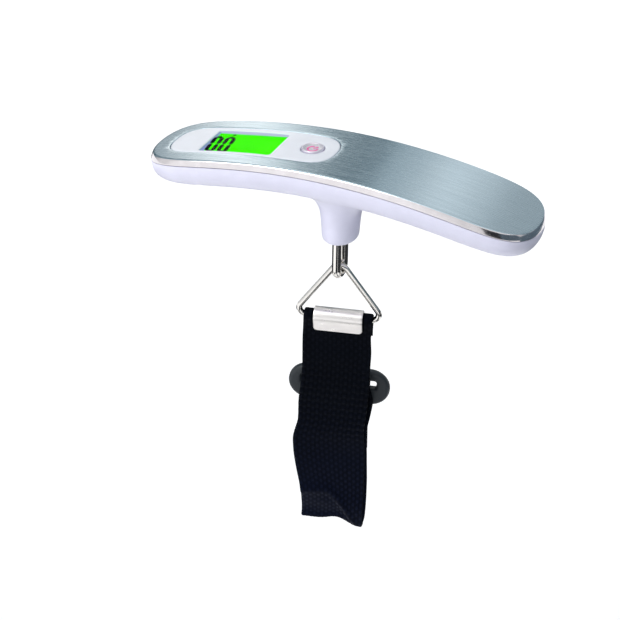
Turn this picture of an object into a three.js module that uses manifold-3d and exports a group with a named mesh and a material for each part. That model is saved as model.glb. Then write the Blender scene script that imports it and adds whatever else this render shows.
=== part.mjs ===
// Digital luggage scale: an arched handle with a pressed steel cover over a white shell,
// and a webbing strap that hangs from a wire eye in the handle's neck.
// Millimetres. X runs along the handle, -Y is the front, +Z is up.
// The origin is the crown of the handle, straight above the hook.

import * as THREE from 'three';
import { mergeVertices } from 'three/addons/utils/BufferGeometryUtils.js';
import Module from 'manifold-3d';

const wasm = await Module();
wasm.setup();

// Handle outline and arch
const HANDLE = { x: 0, a: 70, b: 17.6, p: 10.8, q: 2.15, quarter: 14 };
const ARCH_DROP = 2.175e-3;
const ARCH_EASE = 5.04e-8;

// Cover
const SHEET = 0.6;
const BAND_HEIGHT = 2.2;
const BAND_FLARE = 0.4;

// Lower shell
const RIM = -2.5;
const BELLY_DEPTH = 11.8;
const BELLY_POWER = 2.4;
const WALL = 1.7;
const BELLY_BOTTOM = RIM - BELLY_DEPTH;

// Neck under the middle of the handle
const NECK_BOTTOM = -31.7;
const BORE_HALF_X = 3.4;
const BORE_HALF_Y = 6.4;

// Display insert
const BEZEL = { x: -32.8, a: 30.7, b: 10.3, p: 9, q: 2.2, quarter: 10 };
const BEZEL_RISE = 0.15;
const DISPLAY_X = -36.7;
const WINDOW_LENGTH = 27.4;
const WINDOW_WIDTH = 17.0;

// Button
const BUTTON_X = -10.85;
const BUTTON_RADIUS = 4.07;

// Load cell
const BEAM_LEFT = -5.6;
const BEAM_RIGHT = 32.6;
const BEAM_TOP = -5.2;
const BEAM_HEIGHT = 6.4;
const BEAM_WIDTH = 14;
const PIN_Z = -8.6;
const BOLT_X = [23.5, 29];

// Case screws
const SCREWS = [[-48, -11.7], [-48, 11.7], [30, -11.7], [30, 11.7]];

// Battery
const BATTERY_X = 47.5;
const CELL_RADIUS = 10;
const CELL_HEIGHT = 3.2;
const DOOR_LENGTH = 24.4;
const DOOR_WIDTH = 20.8;

// Wire eye and triangle
const LINK_WIRE = 1.6;
const LINK_HALF = 3.175;
const LINK_LOW = -43.525;
const RING_WIRE = 1.1;
const APEX_RADIUS = 3.0;
const APEX_Z = LINK_LOW - LINK_HALF;
const BAR_Z = -65.3;
const RING_HALF = 14.45;
const RING_CORNER = 2.6;
const TWIST = THREE.MathUtils.degToRad(14);

// Strap
const STRAP_WIDTH = 25;
const STRAP_THICK = 1.1;
const LAYER = 2.25;
const LAG = -1.2;
const FOLD_Z = -160.5;

// Toggle
const TOGGLE_LENGTH = 38.4;
const TOGGLE_HEIGHT = 15.2;
const TOGGLE_THICK = 3.2;
const TOGGLE_TOP = -91;
const TOGGLE_V = 5.1;
const SLOT_LENGTH = 28.4;
const SLOT_HEIGHT = 3.6;
const SLOT_TOP_WEB = 4.2;

const STEEL = { color: 0xb4bdc2, roughness: 0.32, metalness: 1.0 };
const CHROME = { color: 0xd2d2d2, roughness: 0.12, metalness: 1.0 };
const WHITE = { color: 0xe6e6f6, roughness: 0.42, metalness: 0.0 };
const BLACK_WEB = { color: 0x0b0d14, roughness: 0.9, metalness: 0.0 };
const GREY_PLASTIC = { color: 0x3c4044, roughness: 0.5, metalness: 0.0 };
const NICKEL = { color: 0xc8c4bc, roughness: 0.25, metalness: 1.0 };
const GREEN_BOARD = { color: 0x1d5a34, roughness: 0.5, metalness: 0.0 };
const ALUMINIUM = { color: 0xb9bcc0, roughness: 0.4, metalness: 1.0 };

// Height of the cover's top line above the crown at x.
function arch(x) {
  return -ARCH_DROP * x ** 2 + ARCH_EASE * x ** 4;
}

// Slope angle of the top line at x.
function archAngle(x) {
  return Math.atan(-2 * ARCH_DROP * x + 4 * ARCH_EASE * x ** 3);
}

// Plain closed geometry: welded, without flat triangles, facing out.
function weld(geometry) {
  const plain = geometry.clone();
  plain.deleteAttribute('normal');
  plain.deleteAttribute('uv');
  const welded = mergeVertices(plain, 1e-4);
  const source = welded.index.array;
  const kept = [];
  for (let i = 0; i < source.length; i += 3) {
    const a = source[i];
    const b = source[i + 1];
    const c = source[i + 2];
    if (a !== b && b !== c && c !== a) {
      kept.push(a, b, c);
    }
  }
  const position = welded.attributes.position;
  let volume = 0;
  const p = new THREE.Vector3();
  const q = new THREE.Vector3();
  const r = new THREE.Vector3();
  for (let i = 0; i < kept.length; i += 3) {
    p.fromBufferAttribute(position, kept[i]);
    q.fromBufferAttribute(position, kept[i + 1]);
    r.fromBufferAttribute(position, kept[i + 2]);
    volume += p.dot(q.cross(r));
  }
  if (volume < 0) {
    for (let i = 0; i < kept.length; i += 3) {
      const swap = kept[i];
      kept[i] = kept[i + 1];
      kept[i + 1] = swap;
    }
  }
  welded.setIndex(kept);
  return welded;
}

// Surface through a row of closed rings with the same number of points.
function skin(rings, wrap = false) {
  const count = rings[0].length;
  const index = [];
  const spans = wrap ? rings.length : rings.length - 1;
  for (let r = 0; r < spans; r += 1) {
    const next = (r + 1) % rings.length;
    for (let i = 0; i < count; i += 1) {
      const j = (i + 1) % count;
      index.push(r * count + i, r * count + j, next * count + j);
      index.push(r * count + i, next * count + j, next * count + i);
    }
  }
  const geometry = new THREE.BufferGeometry();
  geometry.setAttribute('position', new THREE.Float32BufferAttribute(rings.flat(2), 3));
  geometry.setIndex(index);
  return weld(geometry);
}

function toSolid(geometry) {
  const welded = weld(geometry);
  return new wasm.Manifold(new wasm.Mesh({
    numProp: 3,
    vertProperties: new Float32Array(welded.attributes.position.array),
    triVerts: new Uint32Array(welded.index.array),
  }));
}

function fromSolid(solid) {
  const mesh = solid.getMesh();
  const geometry = new THREE.BufferGeometry();
  geometry.setAttribute('position', new THREE.Float32BufferAttribute(mesh.vertProperties, 3));
  geometry.setIndex(Array.from(mesh.triVerts));
  return geometry;
}

function join(first, ...others) {
  let solid = toSolid(first);
  others.forEach((other) => {
    solid = solid.add(toSolid(other));
  });
  return fromSolid(solid);
}

function cut(first, ...tools) {
  let solid = toSolid(first);
  tools.forEach((tool) => {
    solid = solid.subtract(toSolid(tool));
  });
  return fromSolid(solid);
}

function common(first, second) {
  return fromSolid(toSolid(first).intersect(toSolid(second)));
}

function moved(geometry, x, y, z, turnX = 0, turnY = 0, turnZ = 0) {
  const matrix = new THREE.Matrix4().makeRotationFromEuler(new THREE.Euler(turnX, turnY, turnZ));
  matrix.setPosition(x, y, z);
  return geometry.clone().applyMatrix4(matrix);
}

// Upright cylinder between two heights.
function post(radius, low, high, x = 0, y = 0, sides = 20) {
  const geometry = new THREE.CylinderGeometry(radius, radius, high - low, sides);
  return moved(geometry, x, y, (low + high) / 2, Math.PI / 2);
}

function box(x0, x1, y0, y1, z0, z1) {
  const geometry = new THREE.BoxGeometry(x1 - x0, y1 - y0, z1 - z0);
  return moved(geometry, (x0 + x1) / 2, (y0 + y1) / 2, (z0 + z1) / 2);
}

function roundedRectangle(length, width, radius) {
  const shape = new THREE.Shape();
  const x = length / 2;
  const y = width / 2;
  shape.moveTo(-x + radius, -y);
  shape.lineTo(x - radius, -y);
  shape.absarc(x - radius, -y + radius, radius, -Math.PI / 2, 0, false);
  shape.lineTo(x, y - radius);
  shape.absarc(x - radius, y - radius, radius, 0, Math.PI / 2, false);
  shape.lineTo(-x + radius, y);
  shape.absarc(-x + radius, y - radius, radius, Math.PI / 2, Math.PI, false);
  shape.lineTo(-x, -y + radius);
  shape.absarc(-x + radius, -y + radius, radius, Math.PI, Math.PI * 1.5, false);
  return shape;
}

// Upright plate with rounded corners between two heights.
function plate(length, width, radius, low, high, segments = 4) {
  const geometry = new THREE.ExtrudeGeometry(roundedRectangle(length, width, radius), {
    depth: high - low,
    bevelEnabled: false,
    curveSegments: segments,
  });
  return moved(geometry, 0, 0, low);
}

// One quarter of a rounded oblong outline, from its tip to its side.
function quarterOutline(p, q, steps) {
  const dense = [];
  const knee = 0.9;
  for (let i = 0; i <= 200; i += 1) {
    const x = (knee * i) / 200;
    dense.push([x, (1 - x ** p) ** (1 / q)]);
  }
  const kneeY = dense[dense.length - 1][1];
  for (let i = 1; i <= 200; i += 1) {
    const y = kneeY * (1 - i / 200);
    dense.push([(1 - y ** q) ** (1 / p), y]);
  }
  const reach = [0];
  for (let i = 1; i < dense.length; i += 1) {
    const dx = Math.abs(dense[i][0] - dense[i - 1][0]);
    const dy = Math.abs(dense[i][1] - dense[i - 1][1]);
    reach.push(reach[i - 1] + 2.2 * dx + 2.4 * dy);
  }
  const total = reach[reach.length - 1];
  const points = [];
  let k = 0;
  for (let s = steps; s >= 0; s -= 1) {
    const want = (total * (steps - s)) / steps;
    while (k < reach.length - 2 && reach[k + 1] < want) {
      k += 1;
    }
    const t = (want - reach[k]) / (reach[k + 1] - reach[k]);
    const x = dense[k][0] + t * (dense[k + 1][0] - dense[k][0]);
    const y = dense[k][1] + t * (dense[k + 1][1] - dense[k][1]);
    points.unshift([x, y]);
  }
  points[0] = [1, 0];
  points[steps] = [0, 1];
  return points;
}

function fullOutline(p, q, steps) {
  const quarter = quarterOutline(p, q, steps);
  const ring = [];
  for (let k = 0; k < steps; k += 1) {
    ring.push([quarter[k][0], quarter[k][1]]);
  }
  for (let k = steps; k > 0; k -= 1) {
    ring.push([-quarter[k][0], quarter[k][1]]);
  }
  for (let k = 0; k < steps; k += 1) {
    ring.push([-quarter[k][0], -quarter[k][1]]);
  }
  for (let k = steps; k > 0; k -= 1) {
    ring.push([quarter[k][0], -quarter[k][1]]);
  }
  return ring;
}

// Body that follows the arch. Each profile entry is an inset from the outline and a height.
function archedBody(outline, profile) {
  const unit = fullOutline(outline.p, outline.q, outline.quarter);
  const rings = profile.map(([inset, height]) => unit.map(([ux, uy]) => {
    const x = outline.x + ux * (outline.a - inset);
    return [x, uy * (outline.b - inset), arch(x) + height];
  }));
  return skin(rings);
}

// Insets and heights of a belly section from its bottom line to its rim.
function bellySection(halfWidth, depth) {
  const section = [];
  [0, 12, 25, 38, 51, 64, 77, 90].forEach((degrees) => {
    const t = THREE.MathUtils.degToRad(degrees);
    const across = Math.sin(t) ** (2 / BELLY_POWER);
    const down = degrees === 90 ? 0 : Math.cos(t) ** (2 / BELLY_POWER);
    section.push([HANDLE.b - halfWidth * across, RIM - depth * down]);
  });
  return section;
}

// Closed wire round a list of circles (centre a, centre b, radius), turning one way.
function loopPath(circles, stepDegrees) {
  const path = [];
  const count = circles.length;
  const normals = circles.map((circle, i) => {
    const other = circles[(i + 1) % count];
    const dx = other.a - circle.a;
    const dy = other.b - circle.b;
    const length = Math.hypot(dx, dy);
    const lean = (circle.r - other.r) / length;
    const side = Math.sqrt(1 - lean ** 2);
    return Math.atan2(lean * (dy / length) - side * (dx / length), lean * (dx / length) + side * (dy / length));
  });
  circles.forEach((circle, i) => {
    const start = normals[(i + count - 1) % count];
    let end = normals[i];
    while (end < start) {
      end += Math.PI * 2;
    }
    const steps = Math.max(2, Math.round((end - start) / THREE.MathUtils.degToRad(stepDegrees)));
    for (let s = 0; s <= steps; s += 1) {
      const t = start + ((end - start) * s) / steps;
      path.push([circle.a + circle.r * Math.cos(t), circle.b + circle.r * Math.sin(t)]);
    }
  });
  return path;
}

// Round wire along a closed flat path; place(a, b, c) turns path coordinates into a point.
function wireLoop(path, radius, sides, place) {
  const count = path.length;
  const rings = path.map((point, i) => {
    const before = path[(i + count - 1) % count];
    const after = path[(i + 1) % count];
    const length = Math.hypot(after[0] - before[0], after[1] - before[1]);
    const across = [(after[1] - before[1]) / length, -(after[0] - before[0]) / length];
    const ring = [];
    for (let s = 0; s < sides; s += 1) {
      const t = (2 * Math.PI * s) / sides;
      const out = radius * Math.cos(t);
      ring.push(place(point[0] + out * across[0], point[1] + out * across[1], radius * Math.sin(t)));
    }
    return ring;
  });
  return skin(rings, true);
}

// Flat band with a thickness along an open path in the (v, z) plane, extruded across its width.
function band(points, thickness, width, smooth) {
  const curve = new THREE.CatmullRomCurve3(points.map(([v, z]) => new THREE.Vector3(v, z, 0)), false, 'centripetal');
  const centre = smooth ? curve.getPoints(smooth) : points.map(([v, z]) => new THREE.Vector3(v, z, 0));
  const left = [];
  const right = [];
  centre.forEach((point, i) => {
    const before = centre[Math.max(0, i - 1)];
    const after = centre[Math.min(centre.length - 1, i + 1)];
    const along = new THREE.Vector3().subVectors(after, before).normalize();
    left.push(new THREE.Vector2(point.x - (along.y * thickness) / 2, point.y + (along.x * thickness) / 2));
    right.push(new THREE.Vector2(point.x + (along.y * thickness) / 2, point.y - (along.x * thickness) / 2));
  });
  const outline = left.concat(right.reverse());
  const geometry = new THREE.ExtrudeGeometry(new THREE.Shape(outline), {
    depth: width,
    bevelEnabled: false,
    curveSegments: 1,
  });
  const matrix = new THREE.Matrix4().set(
    0, 0, 1, -width / 2,
    1, 0, 0, 0,
    0, 1, 0, 0,
    0, 0, 0, 1,
  );
  return weld(geometry.applyMatrix4(matrix));
}

// Points on an arc in the (v, z) plane, in degrees from +v towards +z.
function arc(v, z, radius, from, to, steps) {
  const points = [];
  for (let s = 0; s <= steps; s += 1) {
    const t = THREE.MathUtils.degToRad(from + ((to - from) * s) / steps);
    points.push([v + radius * Math.cos(t), z + radius * Math.sin(t)]);
  }
  return points;
}

function add(parent, name, geometry, look) {
  const closed = weld(geometry);
  closed.computeVertexNormals();
  const mesh = new THREE.Mesh(closed, new THREE.MeshStandardMaterial(look));
  mesh.name = name;
  parent.add(mesh);
  return mesh;
}

const root = new THREE.Group();
root.name = 'luggage_scale';
const handle = new THREE.Group();
handle.name = 'handle';
root.add(handle);

// Steel cover: thin arched sheet with a turned-down edge and an oblong cut-out.
const coverSheet = archedBody(HANDLE, [
  [HANDLE.b, 0], [11, 0], [5, 0], [1.5, 0], [0.5, -0.2], [0.05, -0.7], [-BAND_FLARE, -BAND_HEIGHT],
  [-BAND_FLARE + SHEET, -BAND_HEIGHT], [0.65, -0.95], [1.2, -SHEET], [5, -SHEET], [11, -SHEET],
  [HANDLE.b, -SHEET],
]);
const coverOpening = archedBody(BEZEL, [[BEZEL.b, 3], [-0.2, 3], [-0.2, -3], [BEZEL.b, -3]]);
add(handle, 'steel_cover', cut(coverSheet, coverOpening), STEEL);

// Upper shell: frame under the cover, with a rebate for the insert and four screw posts.
let upper = archedBody(HANDLE, [
  [HANDLE.b, -0.9], [8, -0.9], [1.5, -0.9], [1.0, -1.2], [1.0, -2.2], [1.7, -2.3], [1.7, -4.5],
  [2.9, -4.5], [2.9, -2.3], [8, -2.3], [HANDLE.b, -2.3],
]);
SCREWS.forEach(([x, y]) => {
  upper = join(upper, post(1.8, arch(x) - 6.0, arch(x) - 1.6, x, y, 16));
});
upper = cut(
  upper,
  archedBody(BEZEL, [[BEZEL.b, 3], [-0.3, 3], [-0.3, -1.8], [BEZEL.b, -1.8]]),
  archedBody(BEZEL, [[BEZEL.b, 3], [0.4, 3], [0.4, -9], [BEZEL.b, -9]]),
  ...SCREWS.map(([x, y]) => post(1.0, arch(x) - 8, arch(x) - 2.9, x, y, 12)),
);
add(handle, 'upper_shell', upper, WHITE);

// Frame of the display: origin on the arch, tilted with it.
const displayAngle = archAngle(DISPLAY_X);
function onDisplay(geometry) {
  return moved(geometry, DISPLAY_X, 0, arch(DISPLAY_X), 0, -displayAngle);
}
function displayPoint(x, z) {
  return [
    DISPLAY_X + x * Math.cos(displayAngle) - z * Math.sin(displayAngle),
    arch(DISPLAY_X) + x * Math.sin(displayAngle) + z * Math.cos(displayAngle),
  ];
}
const buttonAngle = archAngle(BUTTON_X);
function onButton(geometry) {
  return moved(geometry, BUTTON_X, 0, arch(BUTTON_X), 0, -buttonAngle);
}

// Display insert with the window, the pane's pocket and the button's hole.
const insert = archedBody(BEZEL, [
  [BEZEL.b, BEZEL_RISE], [5, BEZEL_RISE], [0.7, BEZEL_RISE], [0.2, 0], [0, -0.3], [0, -1.5],
  [0.7, -1.5], [0.7, -3.2], [5, -3.2], [BEZEL.b, -3.2],
]);
add(handle, 'display_bezel', cut(
  insert,
  onDisplay(plate(WINDOW_LENGTH, WINDOW_WIDTH, 1.0, -1.3, 4)),
  onDisplay(plate(29.0, 18.4, 0.6, -8, -0.75)),
  onButton(post(BUTTON_RADIUS + 0.2, -4, 4, 0, 0, 24)),
  onButton(post(5.4, -8, -1.7, 0, 0, 24)),
), WHITE);

add(handle, 'window_lens', onDisplay(plate(28.5, 17.9, 0.5, -1.65, -0.9)), {
  color: 0xdfeee2, roughness: 0.06, metalness: 0.0,
});
add(handle, 'lcd_panel', onDisplay(plate(28.3, 17.7, 0.3, -3.4, -1.8)), {
  color: 0x4fe000, roughness: 0.25, metalness: 0.0,
});
add(handle, 'backlight_panel', onDisplay(moved(plate(27.0, 13.0, 0.4, -5.4, -3.6), 0, -1.4, 0)), {
  color: 0xbff59a, roughness: 0.4, metalness: 0.0,
});
add(handle, 'backlight_led', onDisplay(moved(plate(2.0, 3.2, 0.3, -5.8, -4.6), -14.8, -1.4, 0)), {
  color: 0xf2f3d8, roughness: 0.35, metalness: 0.0,
});
add(handle, 'zebra_strip', onDisplay(box(-12.5, 12.5, 5.5, 7.5, -5.85, -3.55)), {
  color: 0x5a5a60, roughness: 0.7, metalness: 0.0,
});

// Circuit board, potted controller and switch.
const board = onDisplay(moved(plate(51, 15.2, 1.2, -7.2, -6.0), 4.05, 0, 0));
add(handle, 'main_pcb', board, GREEN_BOARD);
const blob = new THREE.LatheGeometry([
  new THREE.Vector2(0, -1.5), new THREE.Vector2(2.0, -1.35), new THREE.Vector2(3.5, -0.9),
  new THREE.Vector2(4.4, -0.2), new THREE.Vector2(4.5, 0), new THREE.Vector2(0, 0),
], 20);
add(handle, 'controller_chip', onDisplay(moved(blob, 2, 0, -7.35, Math.PI / 2)), {
  color: 0x0c0c0d, roughness: 0.35, metalness: 0.0,
});
const switchLocal = (BUTTON_X - DISPLAY_X) / Math.cos(displayAngle) - 0.6;
add(handle, 'button_switch', onDisplay(moved(join(
  plate(5, 5, 0.4, -5.85, -5.0),
  post(1.2, -5.2, -4.75, 0, 0, 16),
), switchLocal, 0, 0)), { color: 0x1a1a1c, roughness: 0.4, metalness: 0.2 });

// Round button: slightly domed cap with a retaining flange under the insert.
const cap = new THREE.LatheGeometry([
  new THREE.Vector2(0, 0.6), new THREE.Vector2(1.6, 0.56), new THREE.Vector2(2.8, 0.45),
  new THREE.Vector2(3.5, 0.3), new THREE.Vector2(3.85, 0.05), new THREE.Vector2(3.87, -2.05),
  new THREE.Vector2(4.9, -2.05), new THREE.Vector2(4.9, -2.75), new THREE.Vector2(0, -2.75),
], 24);
add(handle, 'power_button', onButton(moved(cap, 0, 0, 0, Math.PI / 2)), {
  color: 0xd6d6de, roughness: 0.35, metalness: 0.1,
});

// Lower shell: belly, neck, screw bosses, beam pedestal, board pillars and battery tub.
const outerSection = bellySection(HANDLE.b + 0.3, BELLY_DEPTH);
const innerSection = bellySection(HANDLE.b + 0.3 - WALL, BELLY_DEPTH - WALL);
outerSection[0][0] = HANDLE.b;
innerSection[0][0] = HANDLE.b;
const bellyWall = archedBody(HANDLE, outerSection.concat(innerSection.slice().reverse()));

const NECK_RINGS = [
  [14.6, 10.6, -13.0], [13.0, 10.2, -14.0], [10.8, 9.6, -15.3], [9.2, 9.1, -16.8], [8.0, 8.7, -18.6],
  [7.2, 8.35, -20.8], [6.7, 8.05, -24.5], [6.3, 7.8, -30.2], [6.05, 7.55, -31.0], [5.6, 7.1, -31.5],
  [5.0, 6.6, NECK_BOTTOM],
];
function oval(halfX, halfY, z, sides = 32) {
  const ring = [];
  for (let s = 0; s < sides; s += 1) {
    const t = (2 * Math.PI * s) / sides;
    ring.push([halfX * Math.cos(t), halfY * Math.sin(t), z]);
  }
  return ring;
}
function centreRing(z, sides = 32) {
  return oval(0, 0, z, sides);
}
const neck = skin([
  centreRing(-13.0),
  ...NECK_RINGS.map(([halfX, halfY, z]) => oval(halfX, halfY, z)),
  centreRing(NECK_BOTTOM),
]);
const bore = skin([
  centreRing(-6, 24), oval(BORE_HALF_X, BORE_HALF_Y, -6, 24), oval(BORE_HALF_X, BORE_HALF_Y, -40, 24),
  centreRing(-40, 24),
]);

const batteryAngle = archAngle(BATTERY_X);
function onBattery(geometry) {
  return moved(geometry, BATTERY_X, 0, arch(BATTERY_X), 0, -batteryAngle);
}

let lower = join(bellyWall, neck);
SCREWS.forEach(([x, y]) => {
  lower = join(lower, post(2.6, arch(x) - 10.5, arch(x) - 6.3, x, y, 16));
});
lower = join(
  lower,
  box(20.6, 32.8, -6, 6, -14.2, BEAM_TOP - BEAM_HEIGHT - 0.2),
  onBattery(post(11.8, -12.2, -5.9, 0, 0, 28)),
);
[-18.5, -2, 18].forEach((x) => {
  const [pillarX, pillarTop] = displayPoint(x, -7.6);
  lower = join(lower, post(1.3, arch(pillarX) + BELLY_BOTTOM + 0.9, pillarTop, pillarX, 5.6, 12));
});
lower = cut(
  lower,
  bore,
  ...SCREWS.map(([x, y]) => post(2.0, arch(x) - 16, arch(x) - 9.5, x, y, 16)),
  ...SCREWS.map(([x, y]) => post(1.05, arch(x) - 16, arch(x) - 5, x, y, 12)),
  ...BOLT_X.map((x) => post(1.4, -13.9, -9, x, 0, 12)),
  onBattery(post(CELL_RADIUS + 0.8, -11.5, -6.9, 0, 0, 28)),
  onBattery(plate(DOOR_LENGTH + 0.6, DOOR_WIDTH + 0.6, 2.4, -20, -10.9)),
);
add(handle, 'lower_shell', lower, WHITE);

// Battery door cut from the belly's own wall, with a fingernail notch.
const door = common(bellyWall, onBattery(plate(DOOR_LENGTH, DOOR_WIDTH, 2.1, -20, -10.9)));
add(handle, 'battery_door', cut(
  door,
  onBattery(moved(plate(1.6, 7, 0.7, -16, -13.4), -DOOR_LENGTH / 2 + 1.9, 0, 0)),
), WHITE);

add(handle, 'coin_cell', onBattery(join(
  post(CELL_RADIUS, -10.1, -7.5, 0, 0, 28),
  post(CELL_RADIUS - 1.2, -10.1 - (CELL_HEIGHT - 2.6), -9.9, 0, 0, 24),
)), NICKEL);
add(handle, 'battery_contact_minus', onBattery(box(-7, 5, -2, 2, -7.35, -7.05)), NICKEL);
add(handle, 'battery_contact_plus', onBattery(box(10.2, 10.5, -1.8, 1.8, -10.3, -7.05)), NICKEL);

// Case screws, driven up from the belly.
SCREWS.forEach(([x, y], i) => {
  const driver = moved(box(-1.1, 1.1, -0.2, 0.2, -13, -10.6), 0, 0, 0);
  const crossDriver = moved(box(-0.2, 0.2, -1.1, 1.1, -13, -10.6), 0, 0, 0);
  const screw = cut(
    join(post(1.7, -11.0, -9.65, 0, 0, 16), post(0.75, -10.0, -3.4, 0, 0, 10)),
    driver,
    crossDriver,
  );
  add(handle, `case_screw_${i + 1}`, moved(screw, x, y, arch(x)), NICKEL);
});

// Load cell: beam with a slotted bending zone, a window for the eye and two bolts.
const beamMiddleZ = BEAM_TOP - BEAM_HEIGHT / 2;
const beamHoles = [10.5, 18.5].map((x) => moved(
  new THREE.CylinderGeometry(2.1, 2.1, BEAM_WIDTH + 2, 20), x, 0, beamMiddleZ,
));
let beam = box(BEAM_LEFT, BEAM_RIGHT, -BEAM_WIDTH / 2, BEAM_WIDTH / 2, BEAM_TOP - BEAM_HEIGHT, BEAM_TOP);
beam = cut(
  beam,
  ...beamHoles,
  box(10.5, 18.5, -BEAM_WIDTH, BEAM_WIDTH, beamMiddleZ - 0.7, beamMiddleZ + 0.7),
  box(-2.3, 2.3, -5.4, 5.4, -14, -3),
  moved(new THREE.CylinderGeometry(1.6, 1.6, 24, 16), -5.8, 0, PIN_Z, 0, 0, Math.PI / 2),
  ...BOLT_X.map((x) => post(1.5, -14, -3, x, 0, 14)),
  ...BOLT_X.map((x) => post(2.5, BEAM_TOP - 1.5, -3, x, 0, 18)),
);
add(handle, 'load_cell', beam, ALUMINIUM);
add(handle, 'strain_gauge_top', box(10.5, 18.5, -2.4, 2.4, BEAM_TOP + 0.1, BEAM_TOP + 0.4), {
  color: 0xc9843a, roughness: 0.5, metalness: 0.0,
});
add(handle, 'strain_gauge_bottom', box(
  10.5, 18.5, -2.4, 2.4, BEAM_TOP - BEAM_HEIGHT - 0.4, BEAM_TOP - BEAM_HEIGHT - 0.1,
), { color: 0xc9843a, roughness: 0.5, metalness: 0.0 });
BOLT_X.forEach((x, i) => {
  const hexagon = new THREE.CylinderGeometry(0.9, 0.9, 1.2, 6);
  const bolt = cut(
    join(post(2.1, BEAM_TOP - 1.4, BEAM_TOP + 0.3, x, 0, 18), post(1.1, -13.5, BEAM_TOP - 1, x, 0, 12)),
    moved(hexagon, x, 0, BEAM_TOP + 0.2, Math.PI / 2),
  );
  add(handle, `load_cell_bolt_${i + 1}`, bolt, NICKEL);
});
add(handle, 'hook_pin', moved(
  new THREE.CylinderGeometry(1.3, 1.3, 11.2, 16), 0.2, 0, PIN_Z, 0, 0, Math.PI / 2,
), NICKEL);

// Lead from the gauge to the board.
const cablePath = new THREE.CatmullRomCurve3([
  new THREE.Vector3(11.5, 3.4, -4.3), new THREE.Vector3(8, 5.4, -4.2), new THREE.Vector3(2, 6.4, -4.1),
  new THREE.Vector3(-4, 6.0, -3.9), new THREE.Vector3(-8.2, 5.4, -3.85),
]);
const cableSection = new THREE.Shape();
cableSection.absarc(0, 0, 0.45, 0, Math.PI * 2, false);
add(handle, 'gauge_cable', new THREE.ExtrudeGeometry(cableSection, {
  steps: 24, curveSegments: 4, extrudePath: cablePath,
}), { color: 0x9a1f1f, roughness: 0.6, metalness: 0.0 });

// Wire eye: long closed loop from the beam's pin, down through the neck.
const linkPath = loopPath([
  { a: 0, b: PIN_Z, r: LINK_HALF },
  { a: 0, b: LINK_LOW, r: LINK_HALF },
], 18);
add(root, 'hook_link', wireLoop(linkPath, LINK_WIRE, 14, (a, b, c) => [c, a, b]), CHROME);

// Everything below the eye hangs a little twisted.
const hanging = new THREE.Group();
hanging.name = 'hanging';
hanging.rotation.z = TWIST;
root.add(hanging);

const ringPath = loopPath([
  { a: 0, b: APEX_Z, r: APEX_RADIUS },
  { a: -(RING_HALF - RING_CORNER), b: BAR_Z + RING_CORNER, r: RING_CORNER },
  { a: RING_HALF - RING_CORNER, b: BAR_Z + RING_CORNER, r: RING_CORNER },
], 16);
add(hanging, 'triangle_ring', wireLoop(ringPath, RING_WIRE, 12, (a, b, c) => [a, c, b]), CHROME);

// Clamp: steel sheet folded over the webbing and the bar.
const clampRadius = 2.95;
add(hanging, 'strap_clamp', band([
  [-1.9, BAR_Z - 5.2], [-2.15, BAR_Z - 3.6],
  ...arc(0, BAR_Z, clampRadius, 194, -14, 14),
  [2.15, BAR_Z - 3.6], [1.9, BAR_Z - 5.2],
], SHEET, 17.8, 0), CHROME);

// Webbing, front run: a short end behind, over the bar, down the front to the fold.
const frontPath = [
  [0.75, BAR_Z - 7.2], [0.75, BAR_Z - 4.9],
  ...arc(0, BAR_Z, 1.9, -14, 194, 12),
  [-0.75, BAR_Z - 4.9], [-0.75, BAR_Z - 9.5],
  [-1.4, BAR_Z - 16], [-2.6, BAR_Z - 26], [LAG - LAYER, BAR_Z - 38], [LAG - LAYER - 0.1, BAR_Z - 54],
  [LAG - LAYER - 0.5, BAR_Z - 68], [LAG - LAYER - 0.7, BAR_Z - 76], [LAG - LAYER - 0.2, BAR_Z - 84],
  [LAG - 1.9, FOLD_Z + 5.2], [LAG - 1.5, FOLD_Z + 2.2], [LAG - 0.9, FOLD_Z + 0.9],
  [LAG - 0.25, FOLD_Z + STRAP_THICK / 2],
];
add(hanging, 'strap_front', band(frontPath, STRAP_THICK, STRAP_WIDTH, 0), BLACK_WEB);

// Webbing, rear run: from the fold up in front of the toggle's lower web, through its slot,
// down behind it and back against itself.
const slotTop = TOGGLE_TOP - SLOT_TOP_WEB;
const slotBottom = slotTop - SLOT_HEIGHT;
const backLayer = LAYER + 7.6;
const tailPath = [
  [0.25, FOLD_Z + STRAP_THICK / 2], [0.9, FOLD_Z + 0.9], [1.5, FOLD_Z + 2.2], [1.9, FOLD_Z + 5.2],
  [LAYER, FOLD_Z + 14], [LAYER, FOLD_Z + 30], [LAYER + 0.1, FOLD_Z + 44], [LAYER + 0.2, slotBottom - 6],
  [LAYER + 0.3, slotBottom - 1.6],
  ...arc(LAYER + 2.3, slotBottom - 0.9, 2.0, 172, 98, 5),
  ...arc(backLayer - 2.0, slotBottom - 0.9, 2.0, 82, 4, 5),
  [backLayer, slotBottom - 4], [backLayer - 0.4, slotBottom - 8.5], [backLayer - 3.4, slotBottom - 13],
  [LAYER + 1.9, slotBottom - 15.5], [LAYER + 1.4, slotBottom - 18], [LAYER + 1.35, slotBottom - 27],
];
const hungTail = tailPath.map(([v, z]) => [v + LAG, z]);
add(hanging, 'strap_tail', band(hungTail, STRAP_THICK, STRAP_WIDTH, 0), BLACK_WEB);

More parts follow.
